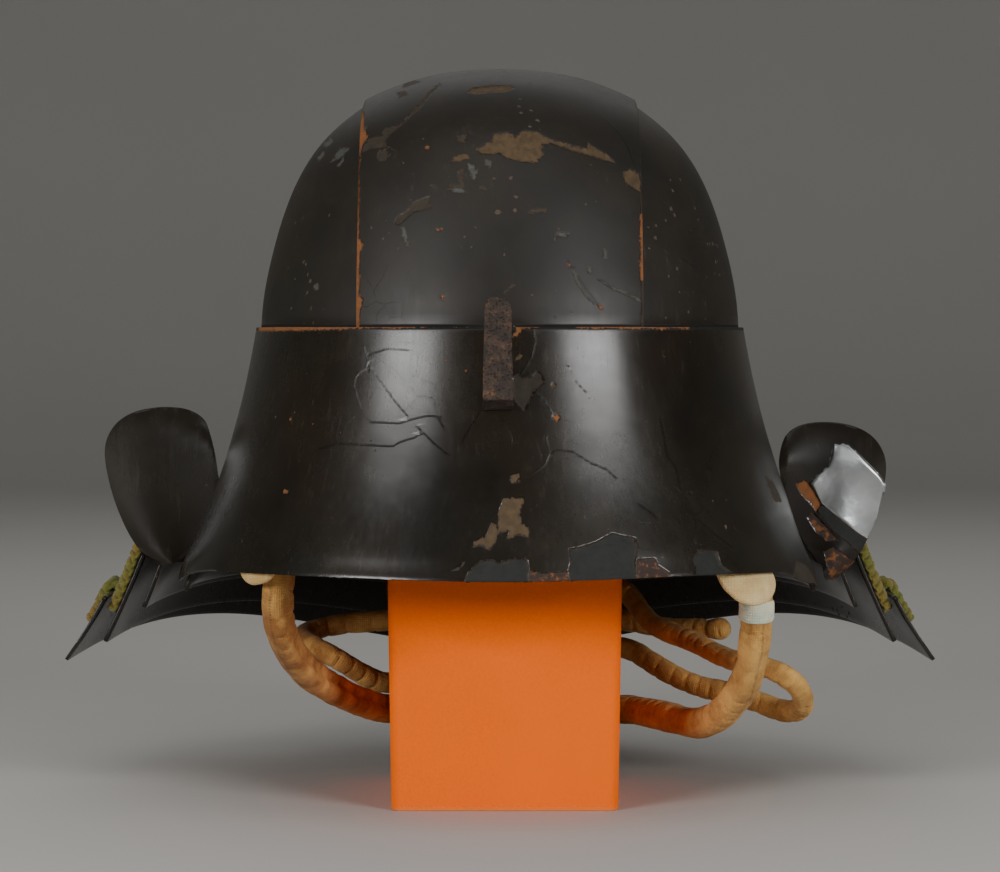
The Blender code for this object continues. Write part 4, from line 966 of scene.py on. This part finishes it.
def line_distance(places, corners, closed):
    """Distance of places to a line of corners, and on which side of it they lie."""
    corners = np.array(corners, dtype=float)
    ends = np.roll(corners, -1, axis=0) if closed else corners[1:]
    starts = corners if closed else corners[:-1]
    best = np.full(len(places), 1e9)
    side = np.ones(len(places))
    for start, end in zip(starts, ends):
        along = end - start
        share = np.clip(((places - start) @ along) / (along @ along), 0.0, 1.0)
        gap = places - start - share[:, None] * along
        distance = np.hypot(gap[:, 0], gap[:, 1])
        nearer = distance < best
        best[nearer] = distance[nearer]
        cross = along[0] * (places[:, 1] - start[1]) - along[1] * (places[:, 0] - start[0])
        side[nearer] = np.sign(cross[nearer])
    return best, side


def inside_outline(places, corners):
    """Which places lie inside a closed outline."""
    corners = np.array(corners, dtype=float)
    inside = np.zeros(len(places), dtype=bool)
    for start, end in zip(corners, np.roll(corners, -1, axis=0)):
        crosses = (start[1] > places[:, 1]) != (end[1] > places[:, 1])
        rise = end[1] - start[1] if end[1] != start[1] else 1e-9
        at = start[0] + (places[:, 1] - start[1]) * (end[0] - start[0]) / rise
        inside ^= crosses & (places[:, 0] < at)
    return inside


def wear_depths(node, points):
    """How many mm each point lies inside the nearest worn outline, what is bare there, and the hollow."""
    depth = np.full(len(points), -WEAR_REACH)
    kind = np.zeros(len(points))
    hollow = np.zeros(len(points))
    front = points[:, 1] < WORN_BEFORE_Y
    places = photo_places(points)
    for bare, drop, corners in WORN.get(node, ()):
        gap, _ = line_distance(places, corners, closed=True)
        inside = inside_outline(places, corners)
        signed = np.where(inside, gap, -gap) * PIXEL_MM
        nearer = (signed > depth) & front
        depth[nearer] = signed[nearer]
        kind[nearer] = bare
        hollow[nearer] = drop
    return np.clip(depth, -WEAR_REACH, WEAR_REACH), kind, hollow


def refine_near_wear(piece, node, reach):
    """Split the faces that lie near a worn outline, so that its edge can be modelled."""
    points, _ = vertex_places(piece.data)
    depth, _, _ = wear_depths(node, points)
    work = bmesh.new()
    work.from_mesh(piece.data)
    work.verts.ensure_lookup_table()
    near = np.abs(depth) < reach
    edges = set()
    for face in work.faces:
        if face.normal.y < 0.3 and any(near[v.index] for v in face.verts):
            edges.update(face.edges)
    if edges:
        bmesh.ops.subdivide_edges(work, edges=list(edges), cuts=1, use_grid_fill=True)
    work.to_mesh(piece.data)
    work.free()


def add_values(piece, name, values):
    """Store one number for each vertex of a piece."""
    layer = piece.data.attributes.new(name, "FLOAT", "POINT")
    layer.data.foreach_set("value", np.ascontiguousarray(values, dtype=np.float32))


def wear_lacquer(piece, node):
    """Hollow the worn places out of a plate's front and store its wear for the material."""
    if node in WORN:
        for reach in WEAR_SPLITS:
            refine_near_wear(piece, node, reach)
    points, normals = vertex_places(piece.data)
    depth, kind, hollow = wear_depths(node, points)
    facing = np.clip((-normals[:, 1] - 0.05) / 0.2, 0.0, 1.0)
    sunk = eased(np.clip((depth + 0.15) / 0.5, 0.0, 1.0)) * hollow * facing * MM
    for i in np.nonzero((kind == STEEL) & (depth > 0.0))[0]:
        place = Vector(tuple(points[i]))
        sunk[i] += min(depth[i], 1.0) * FLAKE_RELIEF * MM * noise.noise(place * FLAKE_FOLDS)
    points = points - normals * sunk[:, None]
    place_vertices(piece, points)
    add_values(piece, "worn_depth", depth + WEAR_REACH)
    add_values(piece, "worn_kind", kind)
    places = photo_places(points)
    gap = np.full(len(points), WEAR_REACH)
    side = np.full(len(points), WEAR_REACH)
    for corners in CRACKS.get(node, ()):
        distance, which = line_distance(places, corners, closed=False)
        distance = distance * PIXEL_MM
        nearer = (distance < gap) & (points[:, 1] < 0.0)
        gap[nearer] = distance[nearer]
        side[nearer] = (distance * which)[nearer]
    add_values(piece, "crack_side", side)
    add_values(piece, "crack_near", np.clip(CRACK_REACH - gap, 0.0, 1.0))
    for name, table in (("crazed", CRAZED), ("dulled", DULLED)):
        share = np.zeros(len(points))
        for plate, centre, reach in table:
            if plate == node:
                away = np.hypot(places[:, 0] - centre[0], places[:, 1] - centre[1])
                near = np.clip(1.6 - 1.6 * away / reach, 0.0, 1.0) * (points[:, 1] < 0.0)
                share = np.maximum(share, near)
        add_values(piece, name, share)
    piece.data.update()


def finish_piece(piece, material, slot, *nodes):
    """Give a piece its material, smooth shading and its place on the body, and hide the imported nodes that
    it stands for.
    """
    piece.data.materials.clear()
    piece.data.materials.append(material)
    if piece.type == "MESH":
        select_only(piece)
        bpy.ops.object.shade_smooth_by_angle(angle=math.radians(SHARP_ANGLE))
    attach(piece, "root")
    if nodes:
        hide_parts(*nodes)


def path_length(path):
    """Length of a line of points."""
    return float(np.sum(np.linalg.norm(np.diff(path, axis=0), axis=1)))


def lengths_along(path):
    """Length of a line from its start to each of its points."""
    return np.concatenate([[0.0], np.cumsum(np.linalg.norm(np.diff(path, axis=0), axis=1))])


def value_at(at, lengths, values):
    """Three values between those given for lengths along a line."""
    return np.array([np.interp(at, lengths, values[:, axis]) for axis in range(3)])


def ease_line(values, passes):
    """Smooth a line of values where it lies, its ends kept."""
    for _ in range(passes):
        values[1:-1] = 0.25 * values[:-2] + 0.5 * values[1:-1] + 0.25 * values[2:]


def smooth_path(route, step):
    """Evenly spaced points in metres on a smooth curve through a route given in mm."""
    points = np.array(route, dtype=float) * MM
    padded = np.vstack([2 * points[0] - points[1], points, 2 * points[-1] - points[-2]])
    fine = []
    for i in range(1, len(padded) - 2):
        before, start, end, after = padded[i - 1:i + 3]
        for k in range(24):
            t = k / 24.0
            square = 2 * before - 5 * start + 4 * end - after
            cube = 3 * start - before - 3 * end + after
            fine.append(0.5 * (2 * start + (end - before) * t + square * t**2 + cube * t**3))
    fine.append(points[-1])
    even = evenly_spaced(np.array(fine), CORD_EASING_STEP)
    ease_line(even, CORD_EASING_PASSES)
    return evenly_spaced(even, step)


def evenly_spaced(points, step):
    """Points at even distances along a line of points, both ends kept."""
    lengths = lengths_along(points)
    count = max(2, int(round(lengths[-1] / step)))
    places = np.linspace(0.0, lengths[-1], count + 1)
    return np.array([value_at(place, lengths, points) for place in places])


def path_frames(path):
    """Direction, side and up of each point of a path, without twist."""
    ways = np.gradient(path, axis=0)
    ways /= np.linalg.norm(ways, axis=1, keepdims=True)
    sides = []
    side = np.array((0.0, 0.0, 1.0))
    for way in ways:
        side = side - way * side.dot(way)
        side /= np.linalg.norm(side)
        sides.append(side)
    sides = np.array(sides)
    return ways, sides, np.cross(ways, sides)


def tube(name, path, around, radius_at):
    """Closed tube along a path, its radius given by a function of length, angle and place."""
    _, sides, ups = path_frames(path)
    lengths = lengths_along(path)
    vertices = []
    for i, centre in enumerate(path):
        for k in range(around):
            turn = 2.0 * math.pi * k / around
            out = sides[i] * math.cos(turn) + ups[i] * math.sin(turn)
            vertices.append(centre + out * radius_at(lengths[i], turn, centre, i))
    rows = len(path)
    faces = sleeve_faces(rows, around)
    start = len(vertices)
    vertices.append(path[0])
    vertices.append(path[-1])
    for k in range(around):
        j = (k + 1) % around
        faces.append((start, j, k))
        faces.append((start + 1, (rows - 1) * around + k, (rows - 1) * around + j))
    piece = mesh_piece(name, [tuple(v) for v in vertices], faces)
    layer = piece.data.uv_layers.new(name="cloth")
    girth = 2.0 * math.pi * radius_at(lengths[rows // 2], 0.0, path[rows // 2], rows // 2)
    for loop in piece.data.loops:
        index = loop.vertex_index
        row = min(index // around, rows - 1)
        share = (index % around) / around
        layer.data[loop.index].uv = (share * girth, lengths[row])
    whole_mesh(piece, bpy.ops.mesh.normals_make_consistent, inside=False)
    return piece


def padded_cord(name, path, diameter, seed, fold_at, knob):
    """Stuffed cloth tube: a fold along it, pinches across it and a lumpy filling.

    fold_at gives, for a place on the path and the length so far, the way that the fold faces and its depth.
    """
    total = path_length(path)
    ways, sides, ups = path_frames(path)
    bends = np.gradient(ways, axis=0) / np.linalg.norm(np.gradient(path, axis=0), axis=1)[:, None]
    ease_line(bends, 6)
    radius = diameter / 2.0
    lengths = lengths_along(path)
    folds = []
    depths = []
    for centre, way, length in zip(path, ways, lengths):
        fold, depth = fold_at(centre, length)
        fold = Vector(fold) - Vector(tuple(way)) * Vector(fold).dot(Vector(tuple(way)))
        folds.append(fold.normalized())
        depths.append(depth)

    def radius_at(length, turn, centre, i):
        out = sides[i] * math.cos(turn) + ups[i] * math.sin(turn)
        place = Vector(tuple(centre + out * radius))
        lumps = 0.10 * noise.noise(place * 48.0 + Vector((seed, 0.0, 0.0)))
        lumps += 0.045 * noise.noise(place * 130.0 + Vector((0.0, seed, 0.0)))
        facing = folds[i].dot(Vector(tuple(out)))
        wander = 0.35 * noise.noise(Vector((length * 30.0, seed, 0.0)))
        fold_angle = math.acos(max(-1.0, min(1.0, facing))) + wander
        fold = -depths[i] * math.exp(-(fold_angle / FOLD_WIDTH) ** 2)
        inner = max(0.0, float(bends[i] @ out)) * radius
        phase = length / (PINCH_SPACING * diameter) + 1.5 * noise.noise(Vector((length * 28.0, seed, 3.0)))
        phase += 0.18 * facing
        pinch = (1.0 - abs(math.sin(math.pi * phase))) ** 3
        pinch *= -PINCH_DEPTH * (0.45 + 0.55 * facing) - PINCH_DEPTH_IN_BEND * min(inner, 0.4)
        girth = 1.0 + lumps + fold + pinch
        beyond = (total - length) / diameter
        if knob and beyond < 1.8:
            girth *= 1.0 + 0.10 * math.exp(-((beyond - 0.5) / 0.35) ** 2)
            girth *= 1.0 - 0.12 * math.exp(-((beyond - 1.2) / 0.16) ** 2)
        from_end = min(length, total - length) / diameter
        closing = math.sqrt(max(0.0, 1.0 - (1.0 - min(from_end / CORD_END, 1.0)) ** 2))
        return radius * girth * max(closing, 0.02)

    return tube(name, path, CORD_AROUND, radius_at)


def strap_rings(node):
    """The rings of four corners that a strap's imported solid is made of, from one end to the other."""
    piece = copy_of_node(node, "strap_being_read")
    work = bmesh.new()
    work.from_mesh(piece.data)
    ends = []
    for face in work.faces:
        lengths = sorted(e.calc_length() for e in face.edges)
        if len(face.verts) == 4 and lengths[1] < STRAP_THINNER and lengths[2] > STRAP_WIDER:
            sharp = sum(1 for e in face.edges if e.calc_face_angle() > math.radians(60))
            if sharp == 4:
                ends.append(face)
    ends.sort(key=lambda f: f.calc_center_median().z)
    ring = list(ends[0].verts)
    rings = [[v.co.copy() for v in ring]]
    seen = set(ring)
    while True:
        following = []
        for vertex in ring:
            for edge in vertex.link_edges:
                other = edge.other_vert(vertex)
                unseen = [e for e in vertex.link_edges if e.other_vert(vertex) not in seen]
                if other not in seen and len(unseen) == 1:
                    following.append(other)
        if len(following) != 4:
            break
        ring = following
        seen.update(ring)
        rings.append([v.co.copy() for v in ring])
    work.free()
    bpy.data.objects.remove(piece, do_unlink=True)
    return rings


def plates_tree():
    """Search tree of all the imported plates, to find the room beside a strap."""
    vertices = []
    faces = []
    for node in PLATES:
        start = len(vertices)
        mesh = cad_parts[node].data
        vertices += [v.co.copy() for v in mesh.vertices]
        faces += [[start + i for i in f.vertices] for f in mesh.polygons]
    return BVHTree.FromPolygons(vertices, faces)


def braided_strap(node, name, plates):
    """Thick flat braid along a strap: plump strands in two slanted rows, as thick as its room allows."""
    rings = strap_rings(node)
    corners = np.array([[tuple(c) for c in ring] for ring in rings])
    centres = corners.mean(axis=1)
    wide = []
    thick = []
    for ring in corners:
        first = ring[1] - ring[0]
        second = ring[3] - ring[0]
        if np.linalg.norm(first) < np.linalg.norm(second):
            first, second = second, first
        if wide and first.dot(wide[-1]) < 0.0:
            first = -first
        if thick and second.dot(thick[-1]) < 0.0:
            second = -second
        wide.append(first)
        thick.append(second)
    wide = np.array(wide)
    thick = np.array(thick)
    lengths = lengths_along(centres)
    total = lengths[-1]
    count = int(total / BRAID_STEP)
    rows = []
    for i in range(count + 1):
        at = total * i / count
        centre = value_at(at, lengths, centres)
        across = value_at(at, lengths, wide)
        out = value_at(at, lengths, thick)
        half_wide = np.linalg.norm(across) / 2.0
        half_thick = np.linalg.norm(out) / 2.0
        across /= 2.0 * half_wide
        out /= 2.0 * half_thick
        room = []
        for way in (out, -out):
            free = 1.0
            for shift in (-0.8, 0.0, 0.8):
                start = Vector(tuple(centre + across * half_wide * shift))
                met = plates.ray_cast(start, Vector(tuple(way)), BRAID_LOOKS_AHEAD)
                if met[3] is not None:
                    free = min(free, met[3])
            room.append(min(BRAID_HALF_THICKNESS, max(half_thick, free - BRAID_CLEARANCE)))
        rows.append([at, centre, across, out, half_wide, *room])
    for _ in range(6):
        for i in range(1, count):
            for side in (5, 6):
                rows[i][side] = min(rows[i][side], 0.25 * rows[i - 1][side] + 0.5 * rows[i][side]
                                    + 0.25 * rows[i + 1][side] + 0.05 * MM)
    around = BRAID_AROUND
    stitch = settings().braid_stitch
    vertices = []
    heights = []
    for at, centre, across, out, half_wide, room_out, room_in in rows:
        end_share = min(1.0, min(at, total - at) / BRAID_END)
        closing = math.sqrt(max(0.0, 1.0 - (1.0 - end_share) ** 2)) * 0.95 + 0.05
        for k in range(around):
            turn = 2.0 * math.pi * k / around
            u = math.copysign(abs(math.cos(turn)) ** 0.75, math.cos(turn))
            v = math.copysign(abs(math.sin(turn)) ** 0.75, math.sin(turn))
            slant = at / stitch + abs(u) * 0.9 + (0.5 if v < 0.0 else 0.0)
            strand = abs(math.sin(math.pi * slant))
            middle = 1.0 - math.exp(-(u / 0.16) ** 2)
            plump = strand ** 0.7 * (0.35 + 0.65 * middle)
            wander = noise.noise(Vector(tuple(centre * 260.0 + across * u * 3.0))) * 0.25
            reach = room_out if v > 0.0 else room_in
            offset = reach * v * min(1.0, 0.52 + 0.48 * plump + wander)
            sideways = half_wide * u * min(1.0, 0.84 + 0.14 * strand + 0.25 * wander)
            vertices.append(tuple(centre + (across * sideways + out * offset) * closing))
            heights.append(plump)
    last = len(rows) - 1
    faces = [tuple(range(around))[::-1], tuple(last * around + k for k in range(around))]
    piece = mesh_piece(name, vertices, faces + sleeve_faces(len(rows), around))
    add_values(piece, "braid_height", heights)
    whole_mesh(piece, bpy.ops.mesh.normals_make_consistent, inside=False)
    return piece


class HELMET_OT_plates(bpy.types.Operator):
    """Lacquered plates of the bowl, the brow and the neck guard"""

    bl_idname = "helmet.plates"
    bl_label = "Lacquered plates"

    def execute(self, context):
        for node, (name, reach, drop, crease) in PLATES.items():
            piece = copy_of_node(node, name)
            rim = folded_rim(piece, RIM_POINT_GAP)
            subdivide_softly(piece, PLATE_LEVELS, crease, round_corners=node == "brow_plate")
            if node == "neck_lame_1":
                flatten_flaps(piece)
            if reach:
                refine_near_rim(piece, rim, reach)
                roll_edge(piece, rim, reach, drop)
            if node == "brow_plate":
                straighten_rim(piece, rim)
                move_rim_end(piece)
            make_uneven(piece)
            wear_lacquer(piece, node)
            finish_piece(piece, shared_material(lacquered_iron), "lacquered_iron", node)
        return {"FINISHED"}


class HELMET_OT_crest_hook(bpy.types.Operator):
    """Rusted bar that stands up from the brow plate"""

    bl_idname = "helmet.crest_hook"
    bl_label = "Crest hook"

    def execute(self, context):
        piece = copy_of_node("crest_hook", "crest_hook_rusted")
        soften_edges(piece, 0.45 * MM, 35.0)
        whole_mesh(piece, bpy.ops.mesh.subdivide, number_cuts=7)
        push_out(piece, lambda place: waviness(place, RUST_WAVES) - RUST_LOSS)
        finish_piece(piece, shared_material(rusted_iron), "rusted_iron", "crest_hook")
        return {"FINISHED"}


class HELMET_OT_lacing(bpy.types.Operator):
    """Braided straps that hang each neck plate from the one above"""

    bl_idname = "helmet.lacing"
    bl_label = "Lacing"

    def execute(self, context):
        plates = plates_tree()
        for node in sorted(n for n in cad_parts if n.startswith("lacing_")):
            piece = braided_strap(node, "braid_" + node[7:], plates)
            finish_piece(piece, shared_material(silk_braid), "braided_lacing", node)
        return {"FINISHED"}


def cord_band(path, diameter):
    """Snug white band round the chin cord, where it leaves the right tab."""
    right = [tuple(p) for p in path if p[0] > BAND_RIGHT_OF_X and BAND_FOOT_Z < p[2] < BAND_TOP_Z]
    right = evenly_spaced(np.array(right), BAND_STEP)
    radius = diameter / 2.0 + BAND_PROUD
    total = path_length(right)

    def radius_at(length, turn, centre, i):
        place = Vector(tuple(centre)) + Vector((math.cos(turn), math.sin(turn), 0.0)) * 0.006
        ends = 1.0 - 0.10 * math.exp(-min(length, total - length) / (0.7 * MM))
        flare = 1.0 + 0.05 * abs(2.0 * length / total - 1.0) ** 2
        return radius * ends * flare * (1.03 + 0.03 * noise.noise(place * 240.0))

    return tube("white_band", right, CORD_AROUND, radius_at)


class HELMET_OT_chin_cord(bpy.types.Operator):
    """Thick padded cord from one side of the rim, behind the stand, to the other, with its white band"""

    bl_idname = "helmet.chin_cord"
    bl_label = "Chin cord"

    def execute(self, context):
        diameter = settings().chin_cord_diameter
        path = smooth_path(CHIN_CORD_ROUTE, CORD_STEP)

        def fold_at(centre, length):
            if centre[0] < 0.0:
                return (0.62, -0.70, 0.35), 0.12 + 0.26 * min(1.0, max(0.0, (length - 0.028) / 0.025))
            return (-0.5, -0.8, 0.2), 0.16

        piece = padded_cord("chin_cord_padded", path, diameter, 3.1, fold_at, False)
        finish_piece(piece, tan_cloth(), "padded_cloth", "chin_cord")
        band = cord_band(path, diameter)
        white = shared_material(cotton_cloth, "white_cotton_band", linear("eee2c4"), linear("a9bfae"))
        finish_piece(band, white, "padded_cloth")
        return {"FINISHED"}


class HELMET_OT_back_cord(bpy.types.Operator):
    """Thinner padded cord from the back of the bowl, with a turn at each side and a free knobbed end"""

    bl_idname = "helmet.back_cord"
    bl_label = "Back cord"

    def execute(self, context):
        diameter = settings().back_cord_diameter
        path = smooth_path(BACK_CORD_ROUTE, CORD_STEP)

        def fold_at(centre, length):
            return (0.0, -1.0, -0.2), 0.10 + 0.08 * math.sin(length * 40.0)

        piece = padded_cord("back_cord_padded", path, diameter, 7.7, fold_at, True)
        finish_piece(piece, tan_cloth(), "padded_cloth", "back_cord")
        return {"FINISHED"}


class HELMET_OT_cord_tabs(bpy.types.Operator):
    """Pale cloth tabs at the rim that hold the chin cord"""

    bl_idname = "helmet.cord_tabs"
    bl_label = "Cord tabs"

    def execute(self, context):
        cream = shared_material(cotton_cloth, "cream_cotton_cloth", linear("e8cf9a"), linear("c9a468"))
        for node in ("cord_tab_left", "cord_tab_right"):
            piece = copy_of_node(node, node + "_cloth")
            subdivide_softly(piece, 3, 0.0, 170.0)
            points, normals = vertex_places(piece.data)
            inner_x = points[:, 0].max()
            stretch = 0.30 if node == "cord_tab_right" else 0.0
            for i, (point, normal) in enumerate(zip(points, normals)):
                place = Vector(tuple(point))
                place.x -= (inner_x - point[0]) * stretch
                piece.data.vertices[i].co = place + Vector(tuple(normal)) * (
                    noise.noise(place * 180.0) * 0.35 * MM)
            layer = piece.data.uv_layers.new(name="cloth")
            for loop in piece.data.loops:
                point = points[loop.vertex_index]
                layer.data[loop.index].uv = (point[0], point[2])
            finish_piece(piece, cream, "padded_cloth", node)
        return {"FINISHED"}


class HELMET_OT_card_stand(bpy.types.Operator):
    """Plain orange card box that holds the helmet up"""

    bl_idname = "helmet.card_stand"
    bl_label = "Card stand"

    def execute(self, context):
        piece = copy_of_node("stand", "card_stand")
        soften_edges(piece, 0.5 * MM, 60.0)
        finish_piece(piece, shared_material(orange_card), "orange_card", "stand")
        return {"FINISHED"}


class HELMET_OT_studio(bpy.types.Operator):
    """Pale floor with a rising edge, soft lights left and right, and the camera at the photograph's angle"""

    bl_idname = "helmet.studio"
    bl_label = "Studio"

    def execute(self, context):
        bpy.ops.object.select_all(action="DESELECT")
        bpy.ops.mesh.primitive_circle_add(vertices=64, radius=FLOOR_RADIUS, fill_type="TRIFAN")
        floor = bpy.context.active_object
        floor.name = "studio_floor"
        bpy.ops.object.mode_set(mode="EDIT")
        bpy.ops.mesh.select_all(action="SELECT")
        bpy.ops.mesh.region_to_loop()
        reach, height = FLOOR_RADIUS, 0.0
        for wider, higher in FLOOR_RINGS:
            bpy.ops.mesh.extrude_region_move(TRANSFORM_OT_translate={"value": (0.0, 0.0, higher - height)})
            share = wider / reach
            bpy.ops.transform.resize(value=(share, share, 1.0), center_override=(0.0, 0.0, 0.0))
            reach, height = wider, higher
        bpy.ops.object.mode_set(mode="OBJECT")
        bpy.ops.object.shade_smooth()
        floor.data.materials.append(painted_floor())
        for name, turn, rise, away, power, size in LIGHTS:
            light = bpy.data.lights.new(name, "AREA")
            light.shape = "RECTANGLE"
            light.size, light.size_y = size
            light.energy = power
            lamp = bpy.data.objects.new(name, light)
            bpy.context.scene.collection.objects.link(lamp)
            way = Vector((math.sin(math.radians(turn)) * math.cos(math.radians(rise)),
                          -math.cos(math.radians(turn)) * math.cos(math.radians(rise)),
                          math.sin(math.radians(rise))))
            lamp.location = Vector((0.0, 0.0, LIGHT_AIM_Z)) + way * away
            lamp.rotation_euler = way.to_track_quat("Z", "Y").to_euler()
        world = bpy.data.worlds.new("studio_air")
        world.use_nodes = True
        world.node_tree.nodes["Background"].inputs[0].default_value = linear("cccdc9")
        world.node_tree.nodes["Background"].inputs[1].default_value = AIR_STRENGTH
        bpy.context.scene.world = world
        camera = bpy.data.cameras.new("photo_camera")
        camera.sensor_width = SENSOR_WIDTH
        camera.lens = PIXELS_PER_SLOPE * SENSOR_WIDTH / PHOTO_WIDTH
        eye = bpy.data.objects.new("photo_camera", camera)
        bpy.context.scene.collection.objects.link(eye)
        eye.location = camera_place()
        eye.rotation_euler = (math.radians(90.0 - CAMERA_ELEVATION), 0.0, 0.0)
        bpy.context.scene.camera = eye
        return {"FINISHED"}


class HELMET_PT_panel(bpy.types.Panel):
    """Sizes, colours and buttons of the helmet"""

    bl_idname = "HELMET_PT_panel"
    bl_label = "Helmet"
    bl_space_type = "VIEW_3D"
    bl_region_type = "UI"
    bl_category = "Helmet"

    def draw(self, context):
        for name in HelmetSettings.__annotations__:
            self.layout.prop(context.scene.helmet_settings, name)
        for operator in OPERATORS:
            self.layout.operator(operator.bl_idname)


OPERATORS = (
    HELMET_OT_studio,
    HELMET_OT_chin_cord,
    HELMET_OT_back_cord,
    HELMET_OT_plates,
    HELMET_OT_crest_hook,
    HELMET_OT_lacing,
    HELMET_OT_cord_tabs,
    HELMET_OT_card_stand,
)
CLASSES = (HelmetSettings, *OPERATORS, HELMET_PT_panel)


def register():
    for item in CLASSES:
        bpy.utils.register_class(item)
    bpy.types.Scene.helmet_settings = bpy.props.PointerProperty(type=HelmetSettings)


def unregister():
    del bpy.types.Scene.helmet_settings
    for item in reversed(CLASSES):
        bpy.utils.unregister_class(item)


def main():
    register()
    bpy.ops.helmet.studio()
    bpy.ops.helmet.chin_cord()
    bpy.ops.helmet.back_cord()
    bpy.ops.helmet.plates()
    bpy.ops.helmet.crest_hook()
    bpy.ops.helmet.lacing()
    bpy.ops.helmet.cord_tabs()
    bpy.ops.helmet.card_stand()


if __name__ == "__main__":
    main()
